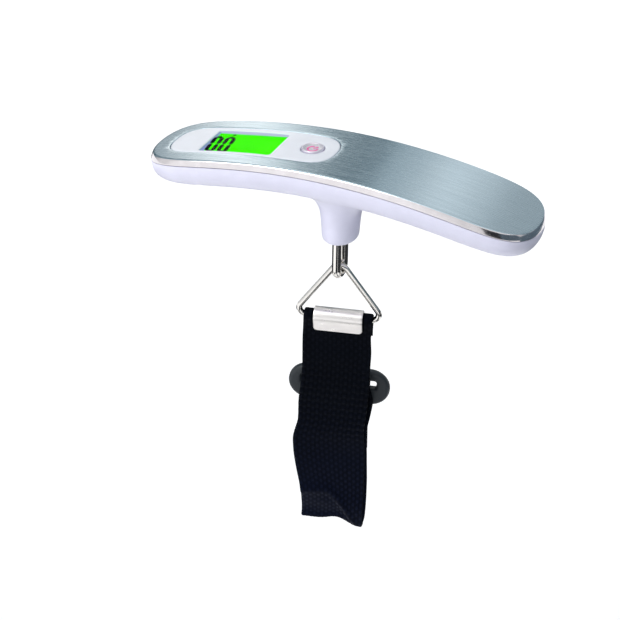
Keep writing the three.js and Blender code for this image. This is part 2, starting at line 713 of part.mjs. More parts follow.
// Toggle: oblong plate with a slot.
const toggleShape = roundedRectangle(TOGGLE_LENGTH, TOGGLE_HEIGHT, TOGGLE_HEIGHT / 2 - 0.05);
const slotHole = new THREE.Path(roundedRectangle(SLOT_LENGTH, SLOT_HEIGHT, 0.9).getPoints(3));
toggleShape.holes.push(new THREE.Path(slotHole.getPoints().map((point) => new THREE.Vector2(
  point.x,
  point.y + TOGGLE_HEIGHT / 2 - SLOT_TOP_WEB - SLOT_HEIGHT / 2,
))));
const toggle = new THREE.ExtrudeGeometry(toggleShape, {
  depth: TOGGLE_THICK - 1.2,
  bevelEnabled: true,
  bevelThickness: 0.6,
  bevelSize: 0.6,
  bevelOffset: -0.6,
  bevelSegments: 1,
  curveSegments: 7,
});
add(hanging, 'toggle_buckle', moved(
  toggle, 0, TOGGLE_V + (TOGGLE_THICK - 1.2) / 2, TOGGLE_TOP - TOGGLE_HEIGHT / 2, Math.PI / 2,
), GREY_PLASTIC);

export default root;
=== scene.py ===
import math

import bmesh
import bpy
import numpy as np
from mathutils import Matrix, Vector
from mathutils.geometry import delaunay_2d_cdt


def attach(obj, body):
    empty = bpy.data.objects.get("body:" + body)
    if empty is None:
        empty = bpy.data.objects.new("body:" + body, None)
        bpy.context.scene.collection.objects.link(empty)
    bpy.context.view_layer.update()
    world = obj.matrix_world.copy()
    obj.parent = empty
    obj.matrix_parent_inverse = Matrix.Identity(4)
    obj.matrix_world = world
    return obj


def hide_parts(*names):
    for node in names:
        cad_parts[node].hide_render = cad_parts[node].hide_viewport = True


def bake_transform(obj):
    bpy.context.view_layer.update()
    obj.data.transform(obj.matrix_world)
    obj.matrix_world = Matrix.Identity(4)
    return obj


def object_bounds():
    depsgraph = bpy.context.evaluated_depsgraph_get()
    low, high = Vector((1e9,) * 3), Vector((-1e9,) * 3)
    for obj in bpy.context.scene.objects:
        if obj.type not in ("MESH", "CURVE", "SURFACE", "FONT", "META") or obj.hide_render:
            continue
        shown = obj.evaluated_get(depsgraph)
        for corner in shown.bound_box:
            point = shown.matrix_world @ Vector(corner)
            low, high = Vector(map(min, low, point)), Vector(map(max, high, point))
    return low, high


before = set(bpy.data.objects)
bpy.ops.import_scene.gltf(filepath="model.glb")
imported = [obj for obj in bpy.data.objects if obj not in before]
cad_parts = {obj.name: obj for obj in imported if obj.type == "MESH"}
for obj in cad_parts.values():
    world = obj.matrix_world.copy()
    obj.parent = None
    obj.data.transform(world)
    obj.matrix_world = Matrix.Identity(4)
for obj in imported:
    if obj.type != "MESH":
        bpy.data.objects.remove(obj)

CAD_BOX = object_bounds()

MM = 0.001

# Numbers shared with the CAD source, in millimetres
HANDLE = dict(x=0.0, a=70.0, b=17.6, p=10.8, q=2.15)
BEZEL = dict(x=-32.8, a=30.7, b=10.3, p=9.0, q=2.2)
ARCH_DROP, ARCH_EASE = 2.175e-3, 5.04e-8
DISPLAY_X, BUTTON_X, BATTERY_X = -36.7, -10.85, 47.5
WINDOW, WINDOW_SHIFT, POCKET = (27.4, 17.0, 1.0), (0.3, -0.6), (29.0, 18.4, 0.6)
WINDOW_LEDGE, INSERT_FLOOR, MASK_REACH = -0.75, -3.2, 13.0
BUTTON_HOLE, BUTTON_WELL, WELL_LEDGE = 4.27, 5.4, -1.7
SHEET, BEZEL_RISE = 0.6, 0.15
RIM, BELLY_DEPTH, BELLY_POWER, BELLY_FLARE, WALL = -2.5, 11.8, 2.4, 0.3, 1.7
DOOR, TUB_RIM, TUB_ROOF, TUB_RADIUS = (24.4, 20.8, 2.1), -10.9, -6.9, 10.5
SCREWS, SCREW_WELL = [(-48.0, -11.7), (-48.0, 11.7), (30.0, -11.7), (30.0, 11.7)], 2.0
BORE = (3.4, 6.4)
PIN_Z, LINK_WIRE, LINK_HALF, LINK_LOW = -8.6, 1.6, 3.175, -43.525
RING_WIRE, APEX_R, APEX_Z, BAR_Z = 1.1, 3.0, -46.7, -65.3
RING_HALF, RING_CORNER = 14.45, 2.6
CLAMP_WIDTH, CLAMP_CORNER, CLAMP_HALF_THICK = 17.8, 1.5, 0.3
TWIST = math.radians(14.0)
FOLD_Z = -160.5
TOGGLE = dict(length=38.4, height=15.2, thick=3.2, top=-91.0, v=5.1, slot=(28.4, 3.6), web=4.2)


# ---------------------------------------------------------------- camera and light

def linked(name, data):
    """A new object in the scene that carries the given data."""
    made = bpy.data.objects.new(name, data)
    bpy.context.scene.collection.objects.link(made)
    return made


def look(azimuth, elevation, roll):
    """Camera rotation and the direction back to the camera, from angles in degrees."""
    a, e, t = (math.radians(d) for d in (azimuth, elevation, roll))
    back = Vector((math.sin(a) * math.cos(e), -math.cos(a) * math.cos(e), math.sin(e)))
    right = Vector((math.cos(a), math.sin(a), 0))
    up = back.cross(right)
    across = right * math.cos(t) + up * math.sin(t)
    over = -right * math.sin(t) + up * math.cos(t)
    return Matrix((across, over, back)).transposed(), back


CAMERA_TARGET = Vector((-7.273, -9.205, -58.876)) * MM
CAMERA_DISTANCE = 493.59 * MM
SENSOR, FOCAL_PIXELS, IMAGE_PIXELS = 36.0, 1394.0, 620.0
turn, back = look(azimuth=23.807, elevation=33.320, roll=0.508)
camera = linked("camera", bpy.data.cameras.new("camera"))
camera.data.sensor_width = SENSOR
camera.data.lens = SENSOR * FOCAL_PIXELS / IMAGE_PIXELS
camera.data.clip_start = 0.01
camera.matrix_world = Matrix.Translation(CAMERA_TARGET + back * CAMERA_DISTANCE) @ turn.to_4x4()
bpy.context.scene.camera = camera
bpy.context.scene.view_settings.view_transform = "Standard"


def area_light(name, place, target, size, power, colour):
    data = bpy.data.lights.new(name, "AREA")
    data.shape = "RECTANGLE"
    data.size, data.size_y = size
    data.energy = power
    data.color = colour
    light = linked(name, data)
    light.location = place
    light.rotation_euler = (Vector(target) - Vector(place)).to_track_quat("-Z", "Y").to_euler()


area_light("key", (-0.55, -0.75, 0.95), (0, 0, -0.05), (0.7, 0.7), 5.6, (1.0, 0.985, 0.97))
area_light("fill", (0.85, -0.55, 0.35), (0, 0, -0.06), (0.8, 0.8), 0.9, (0.95, 0.97, 1.0))
area_light("rear", (-0.12, 0.95, 0.60), (0, 0, 0), (0.30, 0.35), 0.12, (1.0, 1.0, 1.0))


# ---------------------------------------------------------------- node helpers

class Nodes:
    """A small wrapper round a node tree."""

    def __init__(self, tree):
        self.tree = tree
        tree.nodes.clear()

    def add(self, kind, inputs=None, **settings):
        node = self.tree.nodes.new(kind)
        for key, value in settings.items():
            setattr(node, key, value)
        for key, value in (inputs or {}).items():
            self.feed(node, key, value)
        return node

    def feed(self, node, key, value):
        socket = node.inputs[key]
        if isinstance(value, bpy.types.NodeSocket):
            self.tree.links.new(value, socket)
        elif isinstance(value, bpy.types.Node):
            self.tree.links.new(value.outputs[0], socket)
        elif socket.type == "RGBA" and len(value) == 3:
            socket.default_value = (*value, 1.0)
        else:
            socket.default_value = value

    def math(self, operation, *values):
        return self.add("ShaderNodeMath", dict(enumerate(values)), operation=operation).outputs[0]

    def ramp(self, value, low, high, to_low=0.0, to_high=1.0):
        node = self.add("ShaderNodeMapRange", {0: value, 1: low, 2: high, 3: to_low, 4: to_high},
                        interpolation_type="SMOOTHSTEP")
        return node.outputs[0]

    def mix(self, factor, a, b):
        return self.add("ShaderNodeMix", {0: factor, 6: a, 7: b}, data_type="RGBA").outputs[2]

    def noise(self, vector, scale, detail=3.0, rough=0.5):
        node = self.add("ShaderNodeTexNoise", {"Vector": vector, "Scale": scale, "Detail": detail,
                                               "Roughness": rough})
        return node.outputs[0]

    def stretched(self, vector, scale):
        node = self.add("ShaderNodeVectorMath", {0: vector, 1: scale}, operation="MULTIPLY")
        return node.outputs[0]

    def place(self):
        return self.add("ShaderNodeTexCoord").outputs["Object"]

    def bump(self, height, strength, distance):
        node = self.add("ShaderNodeBump", {"Strength": strength, "Distance": distance, "Height": height})
        return node.outputs[0]

    def output(self, shader, kind="ShaderNodeOutputMaterial"):
        self.tree.links.new(shader.outputs[0], self.add(kind).inputs[0])


def material(name):
    made = bpy.data.materials.new(name)
    made.use_nodes = True
    return made, Nodes(made.node_tree)


def surface(nodes, **inputs):
    """A Principled surface wired to the output; keys use underscores for spaces."""
    shader = nodes.add("ShaderNodeBsdfPrincipled")
    for key, value in inputs.items():
        nodes.feed(shader, key.replace("_", " "), value)
    nodes.output(shader)


def shade(colour, factor):
    return tuple(c * factor for c in colour)


def moulded(name, colour, roughness, grain=1.0, **more):
    """Moulded plastic: slight mottling, fine spark texture, faint handling wear."""
    made, n = material(name)
    place = n.place()
    mottle = n.noise(place, 160.0, 4.0)
    cloud = n.noise(place, 28.0, 2.0)
    grit = n.noise(place, 5200.0, 2.0, 0.6)
    tone = n.mix(n.ramp(mottle, 0.35, 0.65), shade(colour, 0.965), shade(colour, 1.0))
    tone = n.mix(n.ramp(cloud, 0.4, 0.7, 0.0, 0.3), tone, shade(colour, 0.965))
    rough = n.math("ADD", n.ramp(mottle, 0.3, 0.7, roughness - 0.03, roughness + 0.04),
                   n.ramp(grit, 0.3, 0.7, -0.02, 0.03))
    surface(n, Base_Color=tone, Roughness=rough, Normal=n.bump(grit, 0.07 * grain, 0.04 * MM), **more)
    return made


def metal(name, colour, roughness, streak=(1.0, 1.0, 1.0), scale=900.0, depth=0.1, dirt=0.15):
    """Metal with fine drawn or rolled marks and a little tarnish."""
    made, n = material(name)
    place = n.place()
    marks = n.noise(n.stretched(place, streak), scale, 4.0, 0.65)
    cloud = n.noise(place, 220.0, 3.0)
    tone = n.mix(n.ramp(cloud, 0.35, 0.75, 0.0, dirt), colour, shade(colour, 0.55))
    rough = n.math("ADD", n.ramp(marks, 0.3, 0.7, roughness * 0.75, roughness * 1.25),
                   n.ramp(cloud, 0.4, 0.8, 0.0, 0.05))
    surface(n, Base_Color=tone, Metallic=1.0, Roughness=rough, Normal=n.bump(marks, depth, 0.02 * MM))
    return made


# ---------------------------------------------------------------- materials

def brushed_cover():
    """Steel brushed along the handle: fine and broad streaks and a stretched highlight."""
    made, n = material("brushed_cover")
    place = n.place()
    fine = n.noise(n.stretched(place, (0.02, 1.0, 0.05)), 5600.0, 3.0, 0.7)
    broad = n.noise(n.stretched(place, (0.03, 1.0, 0.05)), 1700.0, 4.0, 0.6)
    long = n.noise(n.stretched(place, (0.3, 1.0, 0.3)), 120.0, 3.0, 0.5)
    tone = n.mix(n.ramp(fine, 0.3, 0.7), (0.53, 0.655, 0.73), (0.585, 0.715, 0.785))
    tone = n.mix(n.ramp(broad, 0.35, 0.7, 0.0, 0.22), tone, (0.45, 0.575, 0.645))
    tone = n.mix(n.ramp(long, 0.3, 0.75, 0.0, 0.2), tone, (0.585, 0.71, 0.775))
    rough = n.math("ADD", n.ramp(broad, 0.3, 0.7, 0.23, 0.29), n.ramp(fine, 0.3, 0.7, -0.02, 0.03))
    height = n.math("ADD", fine, n.math("MULTIPLY", broad, 0.35))
    crossways = n.add("ShaderNodeVectorTransform", {0: (0.0, 1.0, 0.0)}, vector_type="VECTOR",
                      convert_from="OBJECT", convert_to="WORLD").outputs[0]
    surface(n, Base_Color=tone, Metallic=1.0, Roughness=rough, Anisotropic=0.85, Tangent=crossways,
            Normal=n.bump(height, 0.055, 0.03 * MM))
    return made


def polished_band():
    """The cover's turned-down edge: bright, with faint upright marks and smears."""
    made, n = material("polished_band")
    place = n.place()
    marks = n.noise(n.stretched(place, (0.1, 0.1, 1.0)), 3000.0, 3.0, 0.6)
    smear = n.noise(place, 180.0, 3.0)
    tone = n.mix(n.ramp(smear, 0.35, 0.7), (0.83, 0.785, 0.80), (0.91, 0.865, 0.885))
    rough = n.math("ADD", n.ramp(marks, 0.3, 0.7, 0.08, 0.16), n.ramp(smear, 0.4, 0.8, 0.0, 0.06))
    surface(n, Base_Color=tone, Metallic=1.0, Roughness=rough, Normal=n.bump(marks, 0.06, 0.02 * MM))
    return made


def window_pane():
    """Clear window that mirrors a little more at a shallow angle."""
    made, n = material("window")
    place = n.place()
    wipe = n.noise(n.stretched(place, (1.0, 0.3, 1.0)), 900.0, 3.0)
    facing = n.add("ShaderNodeLayerWeight", {"Blend": 0.5}).outputs["Facing"]
    share = n.math("MULTIPLY_ADD", n.math("POWER", facing, 4.0), 0.015, 0.001)
    clear = n.add("ShaderNodeBsdfTransparent", {"Color": (0.97, 1.0, 0.975, 1.0)})
    gloss = n.add("ShaderNodeBsdfAnisotropic", {"Color": (0.9, 0.92, 0.95, 1.0),
                                                "Roughness": n.ramp(wipe, 0.3, 0.7, 0.03, 0.08)})
    n.output(n.add("ShaderNodeMixShader", {0: share, 1: clear, 2: gloss}))
    return made


def lit_display():
    """Backlit liquid crystal: its glow varies a little at random, with faint bands of the diffuser."""
    made, n = material("display")
    place = n.place()
    glow = n.noise(place, 90.0, 2.0)
    wave = n.add("ShaderNodeTexWave", {"Vector": place, "Scale": 900.0, "Distortion": 0.0},
                 wave_type="BANDS", bands_direction="Y").outputs[1]
    tone = n.mix(n.ramp(glow, 0.3, 0.7), (0.040, 0.92, 0.0), (0.055, 1.0, 0.0))
    tone = n.mix(n.math("MULTIPLY", wave, 0.06), tone, (0.03, 0.8, 0.0))
    surface(n, Base_Color=(0.004, 0.06, 0.001), Roughness=n.ramp(glow, 0.3, 0.7, 0.3, 0.36),
            Specular_IOR_Level=0.0, Emission_Color=tone, Emission_Strength=0.97)
    return made


YARN_WIDTH, YARN_LENGTH, YARN_SKEW = 0.52 * MM, 0.7 * MM, 1700.0


def webbing():
    """Woven polypropylene: warp cords with glossy crowns, fuzz, painted shade in the gaps between crowns, and
    painted light that colours the lower strap a lighter navy.
    """
    made, n = material("webbing")
    weave = n.add("ShaderNodeAttribute", attribute_name="weave").outputs["Vector"]
    across, along, crown = n.add("ShaderNodeSeparateXYZ", {0: weave}).outputs
    yarn_u = n.math("SINE", n.math("MULTIPLY", across, 2 * math.pi / YARN_WIDTH))
    skew = n.math("ADD", n.math("MULTIPLY", along, 2 * math.pi / YARN_LENGTH),
                  n.math("MULTIPLY", across, YARN_SKEW))
    yarn_v = n.math("SINE", skew)
    place = n.place()
    fuzz = n.noise(place, 2600.0, 4.0, 0.7)
    cloud = n.noise(place, 55.0, 3.0)
    drop = n.add("ShaderNodeSeparateXYZ", {0: place}).outputs[2]
    # Painted light: the strap is coloured near black at the top and a lighter navy lower down.
    low = n.ramp(drop, -0.092, -0.150)
    crown_painted_light = n.mix(low, (0.0014, 0.0019, 0.0036), (0.0040, 0.0062, 0.0180))
    gap_painted_shade = n.mix(low, (0.0005, 0.0007, 0.0012), (0.0014, 0.0020, 0.0060))
    # Painted shade: the hollows between the cords' crowns are coloured darker than the crowns.
    tone = n.mix(n.ramp(crown, 0.15, 0.85), gap_painted_shade, crown_painted_light)
    tone = n.mix(n.math("MULTIPLY", n.ramp(yarn_v, -0.2, 1.0), 0.35), tone, gap_painted_shade)
    tone = n.mix(n.ramp(cloud, 0.35, 0.75, 0.0, 0.3), tone, crown_painted_light)
    height = n.math("ADD", n.math("MULTIPLY", yarn_u, 0.35), n.math("MULTIPLY", yarn_v, 0.45))
    height = n.math("ADD", height, n.math("MULTIPLY", fuzz, 0.9))
    rough = n.math("ADD", n.ramp(crown, 0.0, 1.0, 0.78, 0.55), n.ramp(fuzz, 0.3, 0.7, -0.05, 0.08))
    surface(n, Base_Color=tone, Roughness=rough, IOR=1.34, Specular_IOR_Level=0.16,
            Specular_Tint=(0.5, 0.62, 1.0), Sheen_Weight=0.02, Sheen_Roughness=0.45,
            Sheen_Tint=(0.45, 0.5, 0.75), Normal=n.bump(height, 0.55, 0.09 * MM))
    return made


def circuit_board():
    """Green lacquer with the outline of copper areas."""
    made, n = material("board")
    place = n.place()
    cell = n.add("ShaderNodeTexVoronoi", {"Vector": place, "Scale": 420.0}, distance="CHEBYCHEV",
                 feature="DISTANCE_TO_EDGE").outputs[0]
    grit = n.noise(place, 2500.0, 3.0)
    tone = n.mix(n.ramp(cell, 0.03, 0.07), (0.02, 0.16, 0.06), (0.008, 0.07, 0.028))
    surface(n, Base_Color=tone, Roughness=n.ramp(grit, 0.3, 0.7, 0.32, 0.45),
            Normal=n.bump(cell, 0.3, 0.05 * MM))
    return made


def chrome(name, colour, roughness):
    """Plated wire with drawing marks along it and faint smears."""
    made, n = material(name)
    place = n.place()
    drawn = n.noise(n.stretched(place, (1.0, 1.0, 0.25)), 1500.0, 3.0)
    smear = n.noise(place, 350.0, 3.0)
    tone = n.mix(n.ramp(smear, 0.4, 0.75, 0.0, 0.25), colour, shade(colour, 0.8))
    rough = n.math("ADD", n.ramp(drawn, 0.3, 0.7, roughness * 0.7, roughness * 1.3),
                   n.ramp(smear, 0.45, 0.8, 0.0, 0.04))
    surface(n, Base_Color=tone, Metallic=1.0, Roughness=rough, Normal=n.bump(drawn, 0.05, 0.02 * MM))
    return made


LOOKS = {
    "brushed_cover": brushed_cover(),
    "polished_band": polished_band(),
    "white_shell": moulded("white_shell", (0.835, 0.83, 1.0), 0.38, Specular_IOR_Level=0.45,
                           Coat_Weight=0.08, Coat_Roughness=0.25),
    "insert": moulded("insert", (0.90, 0.93, 1.0), 0.36, 0.7, Specular_IOR_Level=0.32),
    "window": window_pane(),
    "display": lit_display(),
    # Painted shade and glow: the strip at the panel's end is coloured as the white plastic in shade and given a
    # faint glow, though it is no lamp.
    "mask_painted_shade": moulded("mask_painted_shade", (0.27, 0.27, 0.48), 0.45, Emission_Color=(0.30, 0.30, 0.62),
                            Emission_Strength=0.55),
    # Painted shade and glow: the window's walls in the white insert are coloured a shaded lavender and given a
    # faint glow, though they are no lamp.
    "wall_painted_shade": moulded("wall_painted_shade", (0.30, 0.22, 0.50), 0.5, Emission_Color=(0.50, 0.47, 0.70),
                           Emission_Strength=0.7),
    "display_ink": moulded("display_ink", (0.003, 0.006, 0.002), 0.6, 0.5, Specular_IOR_Level=0.08),
    "light_guide": moulded("light_guide", (0.62, 0.90, 0.50), 0.3),
    "lamp": moulded("lamp", (0.85, 0.86, 0.62), 0.25),
    "elastomer": moulded("elastomer", (0.10, 0.10, 0.11), 0.7, 2.0),
    "board": circuit_board(),
    "potting": moulded("potting", (0.012, 0.012, 0.013), 0.28, 1.5),
    "switch_body": metal("switch_body", (0.30, 0.30, 0.31), 0.35),
    "button_cap": metal("button_cap", (0.90, 0.90, 0.96), 0.42, (1.0, 0.15, 1.0), 1800.0, 0.08, 0.1),
    "button_rim": metal("button_rim", (0.92, 0.88, 0.96), 0.48, (1.0, 1.0, 1.0), 1500.0, 0.08, 0.1),
    "button_mark": moulded("button_mark", (1.0, 0.15, 0.48), 0.4),
    "chromed_wire": chrome("chromed_wire", (0.80, 0.775, 0.74), 0.07),
    "clamp_steel": metal("clamp_steel", (0.94, 0.905, 0.885), 0.35, (0.12, 0.12, 1.0), 1100.0, 0.03, 0.05),
    "webbing": webbing(),
    "toggle_plastic": moulded("toggle_plastic", (0.018, 0.025, 0.032), 0.42, 2.0, Specular_IOR_Level=0.5),
    "beam": metal("beam", (0.72, 0.73, 0.75), 0.32, (0.05, 1.0, 1.0), 1800.0, 0.2),
    "gauge_film": moulded("gauge_film", (0.62, 0.30, 0.08), 0.4),
    "nickel": metal("nickel", (0.74, 0.71, 0.66), 0.22, (1.0, 1.0, 1.0), 1400.0, 0.1),
    "lead": moulded("lead", (0.45, 0.03, 0.03), 0.45),
}


# ---------------------------------------------------------------- mesh helpers

def arch(x):
    return -ARCH_DROP * x ** 2 + ARCH_EASE * x ** 4


def arch_angle(x):
    return math.atan(-2 * ARCH_DROP * x + 4 * ARCH_EASE * x ** 3)


class Mesh:
    """Points in millimetres and faces, gathered before they become an object."""

    def __init__(self):
        self.points, self.faces, self.marks = [], [], []
        self.mark = 0

    def ring(self, points):
        first = len(self.points)
        self.points.extend(tuple(p) for p in points)
        return list(range(first, first + len(points)))

    def face(self, numbers):
        self.faces.append(tuple(numbers))
        self.marks.append(self.mark)

    def bridge(self, low, high, closed=True):
        count = len(low)
        for i in range(count if closed else count - 1):
            j = (i + 1) % count
            self.face((low[i], low[j], high[j], high[i]))

    def chain(self, last, loops):
        """Joins a ring to each loop of points in turn and returns the last loop's ring."""
        for loop in loops:
            ring = self.ring(loop)
            self.bridge(last, ring)
            last = ring
        return last

    def fan(self, ring, centre):
        tip = self.ring([centre])[0]
        for i, point in enumerate(ring):
            self.face((point, ring[(i + 1) % len(ring)], tip))

    def fill(self, known, loops, inner=()):
        """Triangles between flat loops, over inner flat points; known holds every point's number."""
        coords = [Vector(p) for loop in (*loops, inner) for p in loop]
        edges, start = [], 0
        for loop in loops:
            edges += [(start + i, start + (i + 1) % len(loop)) for i in range(len(loop))]
            start += len(loop)
        verts, _, faces, origins, _, _ = delaunay_2d_cdt(coords, edges, [], 0, 1e-7)
        centres = np.array([[sum(verts[i][k] for i in f) / 3 for k in (0, 1)] for f in faces])
        inside = within(centres, loops[0])
        for hole in loops[1:]:
            inside &= ~within(centres, hole)
        for face, keep in zip(faces, inside):
            if keep:
                self.face(known[origins[i][0]] for i in face)

    def patch(self, outer, holes, spacing, lift):
        """Triangles over the region between loops of existing points; lift(x, y) places inner ones."""
        numbers = [outer, *holes]
        loops = [[self.points[i][:2] for i in loop] for loop in numbers]
        inner = inner_points(loops, spacing)
        known = [i for loop in numbers for i in loop] + self.ring([lift(x, y) for x, y in inner])
        self.fill(known, loops, inner)


def within(points, loop):
    """For each flat point, whether it lies inside the loop."""
    points, loop = np.asarray(points, float), np.asarray(loop, float)
    inside = np.zeros(len(points), bool)
    after = np.roll(loop, -1, axis=0)
    for (x0, y0), (x1, y1) in zip(loop, after):
        if y0 == y1:
            continue
        crosses = (points[:, 1] >= min(y0, y1)) & (points[:, 1] < max(y0, y1))
        at = x0 + (points[:, 1] - y0) * (x1 - x0) / (y1 - y0)
        inside ^= crosses & (points[:, 0] < at)
    return inside


def inner_points(loops, spacing):
    """Staggered grid points inside the first loop and outside the others, clear of all edges."""
    outline = np.array(loops[0])
    low, high = outline.min(0), outline.max(0)
    xs = np.arange(low[0] + spacing / 2, high[0], spacing)
    ys = np.arange(low[1] + spacing / 2, high[1], spacing)
    grid = np.array([(x + (spacing / 2 if k % 2 else 0), y) for k, y in enumerate(ys) for x in xs])
    if not len(grid):
        return []
    keep = within(grid, loops[0])
    for hole in loops[1:]:
        keep &= ~within(grid, hole)
    edge = np.concatenate([np.array(loop) for loop in loops])
    near = np.array([((edge - g) ** 2).sum(1).min() for g in grid])
    keep &= near > (0.55 * spacing) ** 2
    return [tuple(g) for g in grid[keep]]


def face_outward(data, merge=False):
    work = bmesh.new()
    work.from_mesh(data)
    if merge:
        bmesh.ops.remove_doubles(work, verts=work.verts, dist=1e-8)
    bmesh.ops.recalc_face_normals(work, faces=work.faces)
    work.to_mesh(data)
    work.free()


def finish_piece(mesh, name, body, looks, replaces=(), crease=40.0):
    data = bpy.data.meshes.new(name)
    data.from_pydata([tuple(c * MM for c in p) for p in mesh.points], [], mesh.faces)
    data.polygons.foreach_set("material_index", mesh.marks)
    face_outward(data, merge=True)
    for kind in looks:
        data.materials.append(LOOKS[kind])
    data.shade_smooth()
    data.set_sharp_from_angle(angle=math.radians(crease))
    piece = linked(name, data)
    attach(piece, body)
    if replaces:
        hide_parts(*replaces)


def outline(spec, inset):
    """Points of a rounded oblong outline, each a fixed distance in from the full one."""
    unit = unit_outline(spec["p"], spec["q"], spec["a"] / spec["b"], 56)
    return [(spec["x"] + ux * (spec["a"] - inset), uy * (spec["b"] - inset)) for ux, uy in unit]


OUTLINES = {}


def unit_outline(p, q, aspect, count):
    """Points round |x|^p + |y|^q = 1, closer together where the outline turns."""
    key = (p, q, aspect, count)
    if key not in OUTLINES:
        end = 1 - np.linspace((1 - 0.9 ** p) ** (1 / q), 0, 1500)[1:] ** q
        x = np.concatenate([np.linspace(0, 0.9, 1500), end ** (1 / p)])
        y = np.clip(1 - x ** p, 0, None) ** (1 / q)
        reach = np.concatenate([[0], np.cumsum(np.hypot(np.diff(x) * aspect, np.diff(y)))])
        heading = np.unwrap(np.arctan2(np.gradient(y), np.gradient(x) * aspect))
        bend = np.gradient(heading, reach + 1e-9 * np.arange(len(x)))
        weight = 1 + 2.2 * np.clip(np.abs(bend), 0, 3)
        total = np.concatenate([[0], np.cumsum(np.diff(reach) * (weight[1:] + weight[:-1]) / 2)])
        at = np.linspace(0, total[-1], count + 1)
        qx, qy = np.interp(at, total, x), np.interp(at, total, y)
        qx[0], qy[0], qx[-1], qy[-1] = 0, 1, 1, 0
        quarter = list(zip(qx, qy))
        ahead, back_again = quarter[:-1], quarter[:0:-1]
        OUTLINES[key] = [(sx * a, sy * b) for part, sx, sy in (
            (ahead, 1, 1), (back_again, 1, -1), (ahead, -1, -1), (back_again, -1, 1)) for a, b in part]
    return OUTLINES[key]


def arched_ring(spec, inset, height):
    return [(x, y, arch(x) + height) for x, y in outline(spec, inset)]


def arched(spec, *steps):
    return [arched_ring(spec, inset, height) for inset, height in steps]


def rounded_loop(length, width, radius, grow=0.0, per_corner=8, per_side=10):
    """Loop of a rounded rectangle grown by a margin."""
    x, y, r = length / 2 + grow, width / 2 + grow, max(0.05, radius + grow)
    corners = [(x - r, y - r, 0), (-x + r, y - r, 90), (-x + r, -y + r, 180), (x - r, -y + r, 270)]
    loop = []
    for k, (cx, cy, start) in enumerate(corners):
        for s in range(per_corner + 1):
            t = math.radians(start + 90 * s / per_corner)
            loop.append((cx + r * math.cos(t), cy + r * math.sin(t)))
        nx, ny, begin = corners[(k + 1) % 4]
        t = math.radians(begin)
        end = (nx + r * math.cos(t), ny + r * math.sin(t))
        last = loop[-1]
        for s in range(1, per_side):
            w = s / per_side
            loop.append((last[0] + (end[0] - last[0]) * w, last[1] + (end[1] - last[1]) * w))
    return loop


def circle(radius, count=48, x=0.0, y=0.0, ratio=1.0):
    turns = [2 * math.pi * i / count for i in range(count)]
    return [(x + radius * math.cos(t), y + radius * ratio * math.sin(t)) for t in turns]


def over(loop, height, lift=0.0):
    """The loop's points on the surface height(x, y)."""
    return [(x, y, height(x, y) + lift) for x, y in loop]


class Tilted:
    """A frame that stands on the arch at x and leans with it."""

    def __init__(self, x):
        self.x, self.z, self.angle = x, arch(x), arch_angle(x)
        self.c, self.s = math.cos(self.angle), math.sin(self.angle)

    def point(self, x, y, z):
        return (self.x + x * self.c - z * self.s, y, self.z + x * self.s + z * self.c)

    def flat(self, loop, z):
        return [self.point(x, y, z) for x, y in loop]

    def onto(self, loop, height, shift=0.0):
        """Points of the loop moved along the frame's normal until they meet height(x, y)."""
        points = []
        for x, y in loop:
            z = 0.0
            for _ in range(12):
                px, py, pz = self.point(x, y, z)
                z += (height(px, py) - pz) / self.c
            points.append(self.point(x, y, z + shift))
        return points


display, button_frame, battery = Tilted(DISPLAY_X), Tilted(BUTTON_X), Tilted(BATTERY_X)


# ---------------------------------------------------------------- steel cover

def make_cover():
    m = Mesh()
    edge, hole = (m.ring(ring) for ring in (arched_ring(HANDLE, 1.5, 0), arched_ring(BEZEL, -0.42, 0)))
    m.patch(edge, [hole], 1.7, lambda x, y: (x, y, arch(x)))
    under_hole = m.chain(hole, arched(BEZEL, (-0.30, -0.03), (-0.22, -0.11), (-0.2, -0.22), (-0.2, -SHEET)))
    last = m.chain(edge, arched(HANDLE, (1.0, 0.0), (0.72, -0.03), (0.5, -0.12), (0.36, -0.24)))
    m.mark = 1
    last = m.chain(last, arched(
        HANDLE, (0.24, -0.42), (0.12, -0.66), (0.0, -0.95), (-0.13, -1.3), (-0.27, -1.7), (-0.38, -2.05),
        (-0.4, -2.15), (-0.34, -2.2), (0.12, -2.2), (0.2, -2.12), (0.3, -1.7), (0.5, -1.1), (0.8, -0.75),
        (1.2, -SHEET)))
    m.patch(last, [under_hole], 3.0, lambda x, y: (x, y, arch(x) - SHEET))
    finish_piece(m, "cover_sheet", "handle", ["brushed_cover", "polished_band"],
                 ["steel_cover"], 50)


# ---------------------------------------------------------------- display insert

def bezel_top(x, y):
    return arch(x) + BEZEL_RISE


def bezel_floor(x, y):
    return arch(x) + INSERT_FLOOR


def window_loop(grow):
    return [(x + WINDOW_SHIFT[0], y + WINDOW_SHIFT[1]) for x, y in rounded_loop(*WINDOW, grow)]


